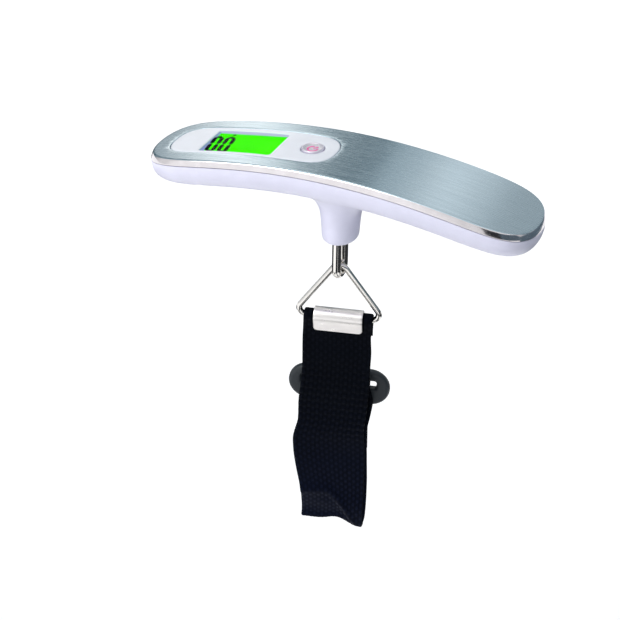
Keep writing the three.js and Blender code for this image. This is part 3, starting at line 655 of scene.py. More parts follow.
def make_bezel():
    m = Mesh()
    edge = m.ring(arched_ring(BEZEL, 0.58, BEZEL_RISE))
    window = m.ring(display.onto(window_loop(0.28), bezel_top))
    button = m.ring(button_frame.onto(circle(BUTTON_HOLE + 0.3), bezel_top))
    m.patch(edge, [window, button], 1.3, lambda x, y: (x, y, bezel_top(x, y)))
    outer_floor = m.chain(edge, arched(
        BEZEL, (0.42, 0.135), (0.28, 0.085), (0.15, 0.01), (0.05, -0.1), (0.0, -0.25), (0.0, -1.5), (0.7, -1.5),
        (0.7, INSERT_FLOOR)))
    lip = m.chain(window, [display.onto(window_loop(grow), bezel_top, drop)
                           for grow, drop in [(0.2, -0.04), (0.08, -0.13), (0.0, -0.3)]])
    first_wall = len(m.faces)
    pocket_loop = rounded_loop(*POCKET)
    pocket = m.chain(lip, [display.flat(window_loop(0.0), WINDOW_LEDGE),
                           display.flat(pocket_loop, WINDOW_LEDGE), display.onto(pocket_loop, bezel_floor)])
    # The window's walls take the painted-shade wall look; past MASK_REACH at the panel's end they take the
    # painted-shade strip look.
    for k in range(first_wall, len(m.faces)):
        at_mask = m.points[m.faces[k][0]][0] < DISPLAY_X - MASK_REACH
        m.marks[k] = 2 if at_mask else 1
    well = m.chain(button, [button_frame.onto(circle(BUTTON_HOLE + grow), bezel_top, drop)
                            for grow, drop in [(0.16, -0.04), (0.05, -0.13), (0.0, -0.28)]]
                   + [button_frame.flat(circle(radius), WELL_LEDGE) for radius in (BUTTON_HOLE, BUTTON_WELL)]
                   + [button_frame.onto(circle(BUTTON_WELL), bezel_floor)])
    m.patch(outer_floor, [pocket, well], 2.5, lambda x, y: (x, y, bezel_floor(x, y)))
    finish_piece(m, "insert_frame", "handle", ["insert", "wall_painted_shade", "mask_painted_shade"],
                 ["display_bezel"], 45)


def make_display_edge():
    """A dark strip with an eased edge at the panel's end, just over the panel: it stands for the window's far
    wall and the panel's unlit edge, coloured as painted shade of the white plastic, with a faint painted glow.
    """
    m = Mesh()
    loop = [(-13.95, 8.8), (-14.35, 8.8), (-14.35, -8.8), (-12.95, -8.8)]
    low, high, ease = -1.795, -1.765, 0.012
    cx, cy = (sum(p[k] for p in loop) / len(loop) for k in (0, 1))
    shrunk = []
    for x, y in loop:
        share = 1 - ease / math.hypot(x - cx, y - cy)
        shrunk.append((cx + (x - cx) * share, cy + (y - cy) * share))
    crest = m.ring(display.flat(shrunk, high))
    foot = m.chain(crest, [display.flat(loop, high - ease), display.flat(loop, low)])
    m.fan(crest, display.point(cx, cy, high))
    m.fan(foot, display.point(cx, cy, low))
    finish_piece(m, "display_edge", "handle", ["mask_painted_shade"], (), 35)


# Digits in millimetres from the display's middle, y towards the handle's far edge
LEAN = 0.13
DIGIT_X, DIGIT_BASE = (-13.3, -8.5), -5.65
DIGIT_TALL, DIGIT_WIDE, BAR, BAR_GAP = 11.2, 2.6, 1.5, 0.08
SIGN_X, SIGN_Y = -7.1, 7.5
DIGIT_TOP, DIGIT_UNDER = -1.71, -1.76


def make_display_marks():
    """The two leaning digits and a small sign above them, just over the panel."""
    m = Mesh()

    def segment(ax, ay, bx, by, wide):
        """One bar with pointed ends, leaning to the right."""
        scale = wide / 2 / math.hypot(bx - ax, by - ay)
        ux, uy = (bx - ax) * scale, (by - ay) * scale
        shape = [(ax, ay), (ax + ux - uy, ay + uy + ux), (bx - ux - uy, by - uy + ux), (bx, by),
                 (bx - ux + uy, by - uy - ux), (ax + ux + uy, ay + uy - ux)]
        shape = [(x - LEAN * y, y) for x, y in shape]
        top, low = (m.ring(display.flat(shape, z)) for z in (DIGIT_TOP, DIGIT_UNDER))
        m.bridge(top, low)
        m.face(top)
        m.face(reversed(low))

    for left in DIGIT_X:
        right, top, mid = left + DIGIT_WIDE, DIGIT_BASE + DIGIT_TALL, DIGIT_BASE + DIGIT_TALL / 2
        for y in (top, DIGIT_BASE):
            segment(left + BAR_GAP, y, right - BAR_GAP, y, BAR)
        for x in (left, right):
            segment(x, mid + BAR_GAP, x, top - BAR_GAP, BAR)
            segment(x, DIGIT_BASE + BAR_GAP, x, mid - BAR_GAP, BAR)
    segment(SIGN_X - 0.5, SIGN_Y, SIGN_X + 0.9, SIGN_Y, 0.45)
    segment(SIGN_X + 0.2, SIGN_Y + 0.1, SIGN_X + 0.2, SIGN_Y + 1.2, 0.4)
    finish_piece(m, "display_digits", "handle", ["display_ink"], (), 20)


# ---------------------------------------------------------------- button

BUTTON_PROFILE = [
    (1.0, 0.285), (2.0, 0.30), (2.7, 0.33), (3.0, 0.37), (3.12, 0.46), (3.22, 0.55), (3.38, 0.6), (3.56, 0.59),
    (3.7, 0.52), (3.8, 0.4), (3.85, 0.2), (3.87, 0.0), (3.87, -2.05), (4.9, -2.05), (4.9, -2.75)]
BUTTON_MIDDLE, RIM_FROM, RIM_TO = 0.28, 3.0, 3.9
MARK_MIDDLE, MARK_TURN, MARK_OPENING = (0.3, -0.75), math.radians(-35), 38
MARK_INNER, MARK_OUTER, MARK_BAR_HALF, MARK_HEIGHTS = 1.42, 2.02, 0.3, (0.34, 0.26)


def make_button():
    m = Mesh()
    last = None
    for radius, z in BUTTON_PROFILE:
        ring = m.ring(button_frame.flat(circle(radius, 64), z))
        if last is None:
            m.fan(ring, button_frame.point(0, 0, BUTTON_MIDDLE))
        else:
            m.mark = 1 if RIM_FROM < radius < RIM_TO else 0
            m.bridge(last, ring)
        last = ring
    m.mark = 0
    m.fan(last, button_frame.point(0, 0, BUTTON_PROFILE[-1][1]))
    finish_piece(m, "button_cap", "button", ["button_cap", "button_rim"], ["power_button"], 45)


def make_button_mark():
    """A plain power sign: an open ring and a bar."""
    m = Mesh()

    def stroke(inner, outer):
        (ti, to), (bi, bo) = ([m.ring(button_frame.flat(loop, z)) for loop in (inner, outer)]
                              for z in MARK_HEIGHTS)
        for a, b in ((ti, to), (bi, bo), (ti, bi), (to, bo)):
            m.bridge(a, b, closed=False)
        for k in (0, -1):
            m.face((ti[k], to[k], bo[k], bi[k]))

    cx, cy = MARK_MIDDLE
    sweep = 360 - 2 * MARK_OPENING
    turns = [math.radians(90 + MARK_OPENING + sweep * i / 40) + MARK_TURN for i in range(41)]
    stroke(*([(cx + radius * math.cos(t), cy + radius * math.sin(t)) for t in turns]
             for radius in (MARK_INNER, MARK_OUTER)))
    ux, uy = math.cos(math.pi / 2 + MARK_TURN), math.sin(math.pi / 2 + MARK_TURN)
    stroke(*([(cx + ux * d - uy * side, cy + uy * d + ux * side) for d in (0.3, 1.25, 2.3)]
             for side in (MARK_BAR_HALF, -MARK_BAR_HALF)))
    finish_piece(m, "button_mark", "button", ["button_mark"], (), 30)


# ---------------------------------------------------------------- lower shell

def belly_rings(wall, *angles):
    """Rings of the belly's side at angles from straight down; a wall moves them inward."""
    rings = []
    for degrees in angles:
        t = math.radians(degrees)
        across = math.sin(t) ** (2 / BELLY_POWER)
        down = math.cos(t) ** (2 / BELLY_POWER) if degrees < 90 else 0.0
        inset = HANDLE["b"] - (HANDLE["b"] + BELLY_FLARE - wall) * across
        rings.append(arched_ring(HANDLE, inset, RIM - (BELLY_DEPTH - wall) * down))
    return rings


def belly_height(x, y, wall=0.0):
    """Height of the belly's outer (or, with a wall, inner) face under a point."""
    low, high = 0.0, HANDLE["b"]
    x, y = abs(x), abs(y)
    for _ in range(40):
        mid = (low + high) / 2
        a, b = HANDLE["a"] - mid, max(1e-9, HANDLE["b"] - mid)
        if (x / a) ** HANDLE["p"] + (y / b) ** HANDLE["q"] > 1:
            high = mid
        else:
            low = mid
    half, depth = HANDLE["b"] + BELLY_FLARE - wall, BELLY_DEPTH - wall
    part = min(1.0, max(0.0, (HANDLE["b"] - low) / half))
    return arch(x) + RIM - depth * max(0.0, 1 - part ** BELLY_POWER) ** (1 / BELLY_POWER)


def inner_wall(x, y):
    return belly_height(x, y, WALL)


def on_belly(x, y):
    return (x, y, belly_height(x, y))


# Half length, half width and height of the neck's rings, from its root down; then its mouth and bore
NECK = [(19.5, 14.6, -8.8), (18.0, 13.2, -10.6), (16.4, 11.9, -12.0), (14.9, 10.95, -13.0), (13.6, 10.5, -13.7),
        (12.2, 10.1, -14.45), (10.8, 9.65, -15.3), (9.9, 9.35, -16.05), (9.2, 9.1, -16.8), (8.55, 8.88, -17.7),
        (8.0, 8.7, -18.6), (7.55, 8.5, -19.7), (7.2, 8.35, -20.9), (6.92, 8.2, -22.6), (6.7, 8.05, -24.5),
        (6.5, 7.93, -27.2), (6.34, 7.84, -29.6), (6.28, 7.79, -30.25), (6.18, 7.7, -30.7), (6.0, 7.53, -31.1),
        (5.75, 7.28, -31.4), (5.4, 6.95, -31.6), (5.0, 6.6, -31.7), (4.4, 6.65, -31.72), (3.75, 6.62, -31.66),
        (3.5, 6.47, -31.5), (3.4, 6.4, -31.2), (3.4, 6.4, -22.0)]
NECK_BLEND, BLEND_ABOVE = 2.2, -18
SCREW_FLOOR, COUNTERSINK = -9.5, 0.18


def smooth_low(a, b, blend):
    """The lower of two heights, eased where they meet."""
    h = max(blend - abs(a - b), 0.0) / blend
    return min(a, b) - h * h * blend / 4


def door_loop(grow):
    return rounded_loop(*DOOR, grow, 8, 12)


def make_lower_shell():
    m = Mesh()

    def oval(half_x, half_y, height):
        return over(circle(half_x, 96, ratio=half_y / half_x), height)

    def neck_height(z):
        if z > BLEND_ABOVE:
            return lambda x, y: smooth_low(belly_height(x, y), z, NECK_BLEND)
        return lambda x, y: z

    rim_out = m.ring(belly_rings(0.0, 90)[0])
    belly_edge = m.chain(rim_out, belly_rings(0.0, 89.2, 88, 86, 83.5, 80.5, 77, 73, 68.5, 64, 60))
    neck_root = m.ring(oval(*NECK[0][:2], belly_height))
    bore_top = m.chain(neck_root, [oval(half_x, half_y, neck_height(z)) for half_x, half_y, z in NECK[1:]]
                       + [oval(*BORE, inner_wall)])

    door_edge = m.ring(battery.onto(door_loop(0.42), belly_height))
    ledge_loop, tub_loop = door_loop(0.3), circle(TUB_RADIUS, 64)
    ledge = m.chain(door_edge, [battery.onto(ledge_loop, belly_height, 0.12),
                                battery.flat(ledge_loop, TUB_RIM)])

    wells = []
    for x, y in SCREWS:
        bottom = arch(x) + SCREW_FLOOR
        mouth = m.ring(over(circle(SCREW_WELL + COUNTERSINK, 32, x, y), belly_height))
        wall = circle(SCREW_WELL, 32, x, y)
        floor = m.chain(mouth, [over(wall, belly_height, 0.15), over(wall, lambda px, py: bottom)])
        m.fan(floor, (x, y, bottom))
        wells.append(mouth)
    m.patch(belly_edge, [neck_root, door_edge, *wells], 1.5, on_belly)

    tub = m.ring(battery.flat(tub_loop, TUB_RIM))
    m.fill(ledge + tub, [ledge_loop, tub_loop])
    roof = m.chain(tub, [battery.flat(tub_loop, TUB_ROOF)])
    m.fan(roof, battery.point(0, 0, TUB_ROOF))

    last = m.chain(rim_out, belly_rings(WALL, 90, 86, 80, 72, 60))
    m.patch(last, [bore_top], 2.4, lambda x, y: (x, y, inner_floor(x, y)))
    finish_piece(m, "belly_shell", "handle", ["white_shell"], ["lower_shell"], 42)


def inner_floor(x, y):
    """The shell's inner floor, kept above the battery tub's roof and the screw wells."""
    height, from_battery = inner_wall(x, y), x - BATTERY_X
    if math.hypot(from_battery, y) < 13.2 or (abs(from_battery) < 14.2 and abs(y) < 12.2):
        height = max(height, battery.point(from_battery, y, TUB_ROOF + 1.0)[2])
    for sx, sy in SCREWS:
        if math.hypot(x - sx, y - sy) < SCREW_WELL + 1.0:
            height = max(height, arch(sx) + SCREW_FLOOR + 0.9)
    return height


NOTCH, NOTCH_X = (1.6, 7.0, 0.7), 1.9 - DOOR[0] / 2
RIBS = [(1.7 * k - 6.6, (0.8, 9.0 - 1.2 * k, 0.38)) for k in range(3)]


def door_back(x, y):
    """The door's inner face: the belly's inner wall, never above the battery tub's rim."""
    limit = TUB_RIM - 0.05
    rim = battery.point((x - battery.x + limit * battery.s) / battery.c, y, limit)[2]
    return min(inner_wall(x, y), rim)


def make_door():
    m = Mesh()

    def at(middle, spec, grow, lift, steps):
        loop = [(x + middle, y) for x, y in rounded_loop(*spec, grow, *steps)]
        return battery.onto(loop, belly_height, lift)

    edge = m.ring(battery.onto(door_loop(-0.3), belly_height))
    mouth = m.ring(at(NOTCH_X, NOTCH, 0.2, 0.0, (6, 4)))
    ribs = []
    for middle, rib in RIBS:
        ribs.append(m.ring(at(middle, rib, 0.0, 0.0, (4, 6))))
        crest = m.chain(ribs[-1], [at(middle, rib, -0.16, -0.2, (4, 6))])
        m.fan(crest, battery.onto([(middle, 0.0)], belly_height, -0.26)[0])
    m.patch(edge, [mouth, *ribs], 1.5, on_belly)
    back_face = m.chain(edge, [battery.onto(door_loop(grow), belly_height, rise)
                               for grow, rise in [(-0.16, 0.03), (-0.05, 0.12), (0.0, 0.28)]]
                        + [battery.onto(door_loop(0.0), door_back)])
    m.patch(back_face, [], 1.5, lambda x, y: (x, y, door_back(x, y)))
    floor = m.chain(mouth, [at(NOTCH_X, NOTCH, 0.0, rise, (6, 4)) for rise in (0.15, 0.8)])
    m.fan(floor, battery.onto([(NOTCH_X, 0.0)], belly_height, 0.8)[0])
    finish_piece(m, "door_panel", "door", ["white_shell"], ["battery_door"], 42)


# ---------------------------------------------------------------- wire eye and triangle

def loop_path(circles, step):
    """Closed path round circles (a, b, radius), turning one way, as (a, b) points."""
    count = len(circles)
    normals = []
    for i, (a, b, r) in enumerate(circles):
        oa, ob, other = circles[(i + 1) % count]
        dx, dy = oa - a, ob - b
        length = math.hypot(dx, dy)
        lean = (r - other) / length
        side = math.sqrt(1 - lean ** 2)
        ux, uy = dx / length, dy / length
        normals.append(math.atan2(lean * uy - side * ux, lean * ux + side * uy))
    path = []
    for i, (a, b, r) in enumerate(circles):
        start, end = normals[i - 1], normals[i]
        while end < start:
            end += 2 * math.pi
        steps = max(3, round(math.degrees(end - start) / step))
        turns = [start + (end - start) * s / steps for s in range(steps + 1)]
        arc = [(a + r * math.cos(t), b + r * math.sin(t)) for t in turns]
        if path:
            path += between(path[-1], arc[0], 8)
        path += arc
    path += between(path[-1], path[0], 8)
    return path


def between(a, b, count):
    """Points inside the line from a to b that cut it into equal parts."""
    return [(a[0] + (b[0] - a[0]) * s / count, a[1] + (b[1] - a[1]) * s / count) for s in range(1, count)]


def make_wire(name, body, path, radius, sides, place, node):
    """A round wire along a closed flat path; place(a, b, c) puts its points in the shared frame."""
    m = Mesh()
    rings = []
    for i, (a, b) in enumerate(path):
        before, after = path[i - 1], path[(i + 1) % len(path)]
        length = math.hypot(after[0] - before[0], after[1] - before[1])
        out_a, out_b = (after[1] - before[1]) / length, -(after[0] - before[0]) / length
        turns = [2 * math.pi * s / sides for s in range(sides)]
        rings.append(m.ring([place(a + radius * math.cos(t) * out_a, b + radius * math.cos(t) * out_b,
                                   radius * math.sin(t)) for t in turns]))
    for i, ring in enumerate(rings):
        m.bridge(ring, rings[(i + 1) % len(rings)])
    finish_piece(m, name, body, ["chromed_wire"], [node], 60)


COS, SIN = math.cos(TWIST), math.sin(TWIST)


def hung(u, v, z):
    """A point of the hanging group in the shared frame."""
    return (u * COS - v * SIN, u * SIN + v * COS, z)


def make_wires():
    eye = loop_path([(0, PIN_Z, LINK_HALF), (0, LINK_LOW, LINK_HALF)], 6)
    make_wire("eye_wire", "link", eye, LINK_WIRE, 28, lambda a, b, c: (c, a, b), "hook_link")
    corner_a, corner_b = RING_HALF - RING_CORNER, BAR_Z + RING_CORNER
    ring = loop_path([(0, APEX_Z, APEX_R), (-corner_a, corner_b, RING_CORNER),
                      (corner_a, corner_b, RING_CORNER)], 6)
    make_wire("triangle_wire", "ring", ring, RING_WIRE, 24, lambda a, b, c: hung(a, c, b), "triangle_ring")


# ---------------------------------------------------------------- folded sheets

def catmull(points, per_span):
    """Dense points on a centripetal curve through the given ones."""
    p = np.array(points, float)
    p = np.vstack([2 * p[0] - p[1], p, 2 * p[-1] - p[-2]])
    out = []
    for i in range(1, len(p) - 2):
        p0, p1, p2, p3 = p[i - 1:i + 3]
        t0 = 0.0
        t1 = t0 + math.sqrt(np.linalg.norm(p1 - p0))
        t2 = t1 + math.sqrt(np.linalg.norm(p2 - p1))
        t3 = t2 + math.sqrt(np.linalg.norm(p3 - p2))
        for t in np.linspace(t1, t2, per_span, endpoint=False):
            a1 = (t1 - t) / (t1 - t0) * p0 + (t - t0) / (t1 - t0) * p1
            a2 = (t2 - t) / (t2 - t1) * p1 + (t - t1) / (t2 - t1) * p2
            a3 = (t3 - t) / (t3 - t2) * p2 + (t - t2) / (t3 - t2) * p3
            b1 = (t2 - t) / (t2 - t0) * a1 + (t - t0) / (t2 - t0) * a2
            b2 = (t3 - t) / (t3 - t1) * a2 + (t - t1) / (t3 - t1) * a3
            out.append((t2 - t) / (t2 - t1) * b1 + (t - t1) / (t2 - t1) * b2)
    out.append(p[-2])
    return np.array(out)


def evenly(points, step):
    """The polyline's points at equal steps, and the length gone at each."""
    reach = np.concatenate([[0], np.cumsum(np.linalg.norm(np.diff(points, axis=0), axis=1))])
    count = max(2, int(round(reach[-1] / step)))
    at = np.linspace(0, reach[-1], count + 1)
    return np.stack([np.interp(at, reach, points[:, k]) for k in range(points.shape[1])], 1), at


def arc_points(v, z, radius, start, end, steps):
    turns = [math.radians(start + (end - start) * s / steps) for s in range(steps + 1)]
    return [(v + radius * math.cos(t), z + radius * math.sin(t)) for t in turns]


def make_clamp():
    """Sheet folded over the bar, with rounded lower corners and eased edges."""
    base = [(-1.9, BAR_Z - 5.2), (-2.15, BAR_Z - 3.6)] + arc_points(0, BAR_Z, 2.95, 194, -14, 26)
    base += [(2.15, BAR_Z - 3.6), (1.9, BAR_Z - 5.2)]
    path, at = evenly(np.array(base), 0.05)
    total = at[-1]

    def placed(u, s, lift):
        v, z = np.interp(s, at, path[:, 0]), np.interp(s, at, path[:, 1])
        k = min(max(int(s / total * (len(at) - 1)), 1), len(at) - 2)
        tv, tz = path[k + 1] - path[k - 1]
        length = math.hypot(tv, tz)
        return hung(u, v - tz / length * lift, z + tv / length * lift)

    m = Mesh()
    rings, thick = [], CLAMP_HALF_THICK
    for grow, lift in [(-0.14, thick), (-0.04, 0.26), (0.0, 0.15),
                       (0.0, -0.15), (-0.04, -0.26), (-0.14, -thick)]:
        loop = rounded_loop(CLAMP_WIDTH, total, CLAMP_CORNER, grow, 8, 28)
        rings.append((loop, m.ring([placed(x, y + total / 2, lift) for x, y in loop])))
    for (_, a), (_, b) in zip(rings, rings[1:]):
        m.bridge(a, b)
    for (loop, ring), lift in ((rings[0], thick), (rings[-1], -thick)):
        inner = inner_points([loop], 0.55)
        known = ring + m.ring([placed(x, y + total / 2, lift) for x, y in inner])
        m.fill(known, [loop], inner)
    finish_piece(m, "clamp_sheet", "strap", ["clamp_steel"], ["strap_clamp"], 40)


# Webbing: centre line in the hanging plane (v, z), from the short end behind the bar to the free end
SLOT_TOP = TOGGLE["top"] - TOGGLE["web"]
SLOT_LOW = SLOT_TOP - TOGGLE["slot"][1]
FRONT_LINE = [(0.75, BAR_Z - 7.2), (0.75, BAR_Z - 4.9)] + arc_points(0, BAR_Z, 1.9, -14, 194, 12) + [
    (-0.75, BAR_Z - 4.9), (-0.75, BAR_Z - 9.5), (-1.4, BAR_Z - 16), (-2.6, BAR_Z - 26), (-3.45, BAR_Z - 38),
    (-3.55, BAR_Z - 54), (-3.95, BAR_Z - 68), (-4.2, BAR_Z - 76), (-3.75, BAR_Z - 84), (-3.15, FOLD_Z + 5.2),
    (-2.7, FOLD_Z + 2.2), (-2.1, FOLD_Z + 0.95), (-1.2, FOLD_Z + 0.55)]
REAR_LINE = [(-0.3, FOLD_Z + 0.95), (0.3, FOLD_Z + 2.2), (0.75, FOLD_Z + 5.2), (1.05, FOLD_Z + 14),
             (1.1, FOLD_Z + 30), (1.5, FOLD_Z + 44), (1.85, SLOT_LOW - 6), (2.15, SLOT_LOW - 1.6)]
REAR_LINE += arc_points(4.2, SLOT_LOW - 0.9, 2.0, 172, 98, 5)
REAR_LINE += arc_points(6.65, SLOT_LOW - 0.9, 2.0, 82, 4, 5)
REAR_LINE += [(8.65, SLOT_LOW - 4), (8.25, SLOT_LOW - 8.5), (5.25, SLOT_LOW - 13), (3.0, SLOT_LOW - 15.5),
              (2.6, SLOT_LOW - 18), (2.5, SLOT_LOW - 27)]

# Where the two edges of the front run hang, against height
LEFT_EDGE = [(-64, -12.5), (-70, -12.9), (-75, -13.1), (-86, -12.9), (-93, -13.2), (-102, -14.1), (-111, -14.1),
             (-116, -15.5), (-119, -16.0), (-126, -15.5), (-132, -14.6), (-138, -13.6), (-142, -12.8),
             (-145, -12.5), (-150, -12.6), (-161, -13.0)]
RIGHT_EDGE = [(-64, 12.5), (-73, 12.0), (-79, 12.5), (-88, 12.3), (-94, 12.4), (-103, 12.0), (-110, 11.3),
              (-114, 10.9), (-122, 11.3), (-131, 11.5), (-146, 11.7), (-155, 11.5), (-161, 11.3)]
# Right edge behind the fold, against the length gone since the fold
REAR_RIGHT_EDGE = [(0, 11.3), (3, 12.1), (10, 12.4), (20, 12.4), (34, 11.9), (43, 11.3), (51, 12.7), (57, 13.5),
                   (60, 13.0), (64, 11.6), (72, 11.2), (84, 11.6), (110, 12.0)]
# Half the width, cords across it, mesh steps across a cord, length of one float, relief and half thickness
STRAP_HALF, CORDS, STEPS_PER_CORD, FLOAT_LENGTH = 12.5, 16, 6, 2.8
CORD_PITCH = 2 * STRAP_HALF / CORDS
RELIEF, HALF_THICK = 0.11, 0.44
# A line in the hanging plane at the fold
FOLD_TILT, FOLD_START_V, FOLD_END_V = 0.045, -1.83, -1.25


def table(rows, z):
    """Value of a two-column table at z."""
    rows = sorted(rows)
    return np.interp(z, [r[0] for r in rows], [r[1] for r in rows])


def eased(x, low, high):
    """0 below low, 1 above high, smooth in between."""
    t = np.clip((x - low) / (high - low), 0, 1)
    return t * t * (3 - 2 * t)


def make_strap():
    """The webbing: its centre line swept across its width, then folds, waves and weave."""
    line = catmull(FRONT_LINE + REAR_LINE, 14)
    path, at = evenly(line, FLOAT_LENGTH / 6)
    fold = int(np.argmin(np.where(path[:, 1] < FOLD_Z + 3, np.abs(path[:, 0] + 1.2), 99)))
    top = int(np.argmax(path[:, 1]))
    z = path[:, 1]
    index = np.arange(len(at))
    to_fold = at[fold] - at
    front = (index > top) & (index <= fold)
    columns = CORDS * STEPS_PER_CORD
    u = np.linspace(-STRAP_HALF, STRAP_HALF, columns + 1)
    share = (u + STRAP_HALF) / (2 * STRAP_HALF)

    left = np.where(front, table(LEFT_EDGE, z), -STRAP_HALF)
    right = np.where(front, table(RIGHT_EDGE, z), STRAP_HALF)
    behind = index > fold
    gone = np.clip(-to_fold, 0, None)
    right = np.where(behind, table(REAR_RIGHT_EDGE, gone), right)
    begin = eased(gone, 0, 8.0)
    left = np.where(behind, (1 - begin) * table(LEFT_EDGE, -160.0) + begin * (right - 24.8), left)
    # Soften the kinks of the edge tables
    kernel = np.hanning(15)
    kernel /= kernel.sum()
    for edge in (left, right):
        edge[:] = np.convolve(np.pad(edge, 7, mode="edge"), kernel, mode="valid")

    width = left[:, None] * (1 - share) + right[:, None] * share
    v = np.repeat(path[:, 0][:, None], columns + 1, 1)
    height = np.repeat(z[:, None], columns + 1, 1)

    # The front run turns towards the viewer's side in its lower half
    turn_angle = math.radians(8.0) * eased(-z, 108, 128) * (1 - eased(-z, 143, 155)) * front
    centre = (left + right) / 2
    v = v + (width - centre[:, None]) * np.sin(turn_angle)[:, None]

    # Slanting crease low on the front: under it the run leans back, more so at the left
    crease = -143.2 - 16.8 * eased(u, -3.0, 12.5)
    below = np.clip(crease[None, :] - height, 0, None)
    reach = np.clip(crease[None, :] - (FOLD_Z + 1.2), 0.3, None)
    lean = np.clip(below / reach, 0, 1)
    v = v + np.where(front[:, None], 2.1 * lean * (1 - 0.35 * lean) * (1 - share)[None, :] ** 0.5
                     * (1 - eased(-height, 157.0, 160.0)), 0)
    bulge = np.exp(-((height - crease[None, :]) / 2.4) ** 2)
    v = v - np.where(front[:, None], 0.75 * bulge * (1 - eased(u, 6, 12.5))[None, :], 0)

    # Gentle waves down the length and cupping across it
    wave = 0.28 * np.sin(at / 6.1 + 0.6) + 0.16 * np.sin(at / 2.9 + 2.0)
    calm = eased(np.abs(z - BAR_Z), 9.0, 22.0) * eased(np.abs(at - at[fold]), 3.0, 12.0)
    away = eased(at[-1] - at, 0.0, 6.0)
    ridge = 0.17 * np.cos(2 * np.pi * at / FLOAT_LENGTH) * front
    ridge = ridge * eased(-z, 80, 90) * (1 - eased(-z, 112, 122))
    v = v + ridge[:, None] * (0.75 + 0.25 * np.cos(2 * np.pi * share))[None, :]
    cupped = 0.5 + 0.5 * np.cos(np.pi * (share - 0.35))
    v = v + (wave * calm * away * front)[:, None] * cupped[None, :]

    # The fold's lower edge dips to a corner at the right
    low_edge = eased(-height, 146.0, 160.5) * eased(20.0 - np.abs(to_fold), 0.0, 16.0)[:, None]
    dip = 1.5 * np.exp(-((share - 0.56) / 0.17) ** 2) - 2.4 * eased(share, 0.62, 1.0)
    height = height + low_edge * dip[None, :]

    # The two faces, with the crowns of the cords standing out of them
    middle = np.stack([width * COS - v * SIN, width * SIN + v * COS, height], 2)
    along = np.gradient(middle, axis=0)
    across = np.gradient(middle, axis=1)
    normal = np.cross(across, along)
    normal /= np.linalg.norm(normal, axis=2, keepdims=True)

    cord = np.floor((u + STRAP_HALF) / CORD_PITCH).clip(0, CORDS - 1)
    phase = (u + STRAP_HALF) / CORD_PITCH - cord
    crown_u = np.sin(np.pi * phase) ** 0.8
    offset = np.where(cord % 2 == 0, 0.0, 0.5)
    beat = 0.5 + 0.5 * np.cos(2 * np.pi * (at[:, None] / FLOAT_LENGTH + offset[None, :]))
    crown_front = crown_u[None, :] * (0.30 + 0.70 * beat ** 1.5)
    crown_back = crown_u[None, :] * (0.30 + 0.70 * (1 - beat) ** 1.5)
    edge_round = np.sqrt(np.clip(1 - (np.clip(np.abs(u) - 11.9, 0, None) / 0.6) ** 2, 0.02, 1))[None, :]
    end_round = np.sqrt(np.clip(1 - (np.clip(0.35 - np.minimum(at, at[-1] - at), 0, None) / 0.35) ** 2, 0.15, 1))
    thick = edge_round * end_round[:, None]
    relief = RELIEF * (0.35 + 0.65 * eased(-z, 76, 92))[:, None]
    relief = np.where(behind[:, None], RELIEF, relief)
    front_face = middle + normal * ((HALF_THICK + relief * crown_front) * thick)[:, :, None]
    back_face = middle - normal * ((HALF_THICK + relief * crown_back) * thick)[:, :, None]

    points = np.concatenate([front_face.reshape(-1, 3), back_face.reshape(-1, 3)]) * MM
    data = bpy.data.meshes.new("webbing_strap")
    data.from_pydata(points.tolist(), [], sheet_faces(len(at), len(u)).tolist())
    face_outward(data)
    grid_u = np.repeat(u[None, :], len(at), 0) * MM
    grid_s = np.repeat(at[:, None], len(u), 1) * MM
    weave = np.concatenate([
        np.stack([grid_u, grid_s, crown_front], 2).reshape(-1, 3),
        np.stack([grid_u, grid_s + FLOAT_LENGTH / 2 * MM, crown_back], 2).reshape(-1, 3),
    ]).astype(np.float32)
    data.attributes.new("weave", "FLOAT_VECTOR", "POINT").data.foreach_set("vector", weave.ravel())
    data.materials.append(LOOKS["webbing"])
    data.shade_smooth()
    strap = linked("webbing_strap", data)
    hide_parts("strap_front", "strap_tail")
    begin = hung(0, FOLD_START_V, FOLD_Z)
    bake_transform(strap)


def sheet_faces(rows, columns):
    """Quads of a closed sheet: two grids of rows x columns points, joined round their edges."""
    def number(side, s, k):
        return side * rows * columns + s * columns + k

    s, k = np.meshgrid(np.arange(rows - 1), np.arange(columns - 1), indexing="ij")
    faces = []
    for side in (0, 1):
        a = number(side, s, k)
        quad = np.stack([a, a + columns, a + columns + 1, a + 1], 2).reshape(-1, 4)
        faces.append(quad if side == 0 else quad[:, ::-1])
    s = np.arange(rows - 1)
    for k, flip in ((0, False), (columns - 1, True)):
        quad = np.stack([number(0, s, k), number(1, s, k), number(1, s + 1, k), number(0, s + 1, k)], 1)
        faces.append(quad[:, ::-1] if flip else quad)
    k = np.arange(columns - 1)
    for s, flip in ((0, True), (rows - 1, False)):
        quad = np.stack([number(0, s, k), number(1, s, k), number(1, s, k + 1), number(0, s, k + 1)], 1)
        faces.append(quad[:, ::-1] if flip else quad)
    return np.concatenate(faces)


# ---------------------------------------------------------------- toggle

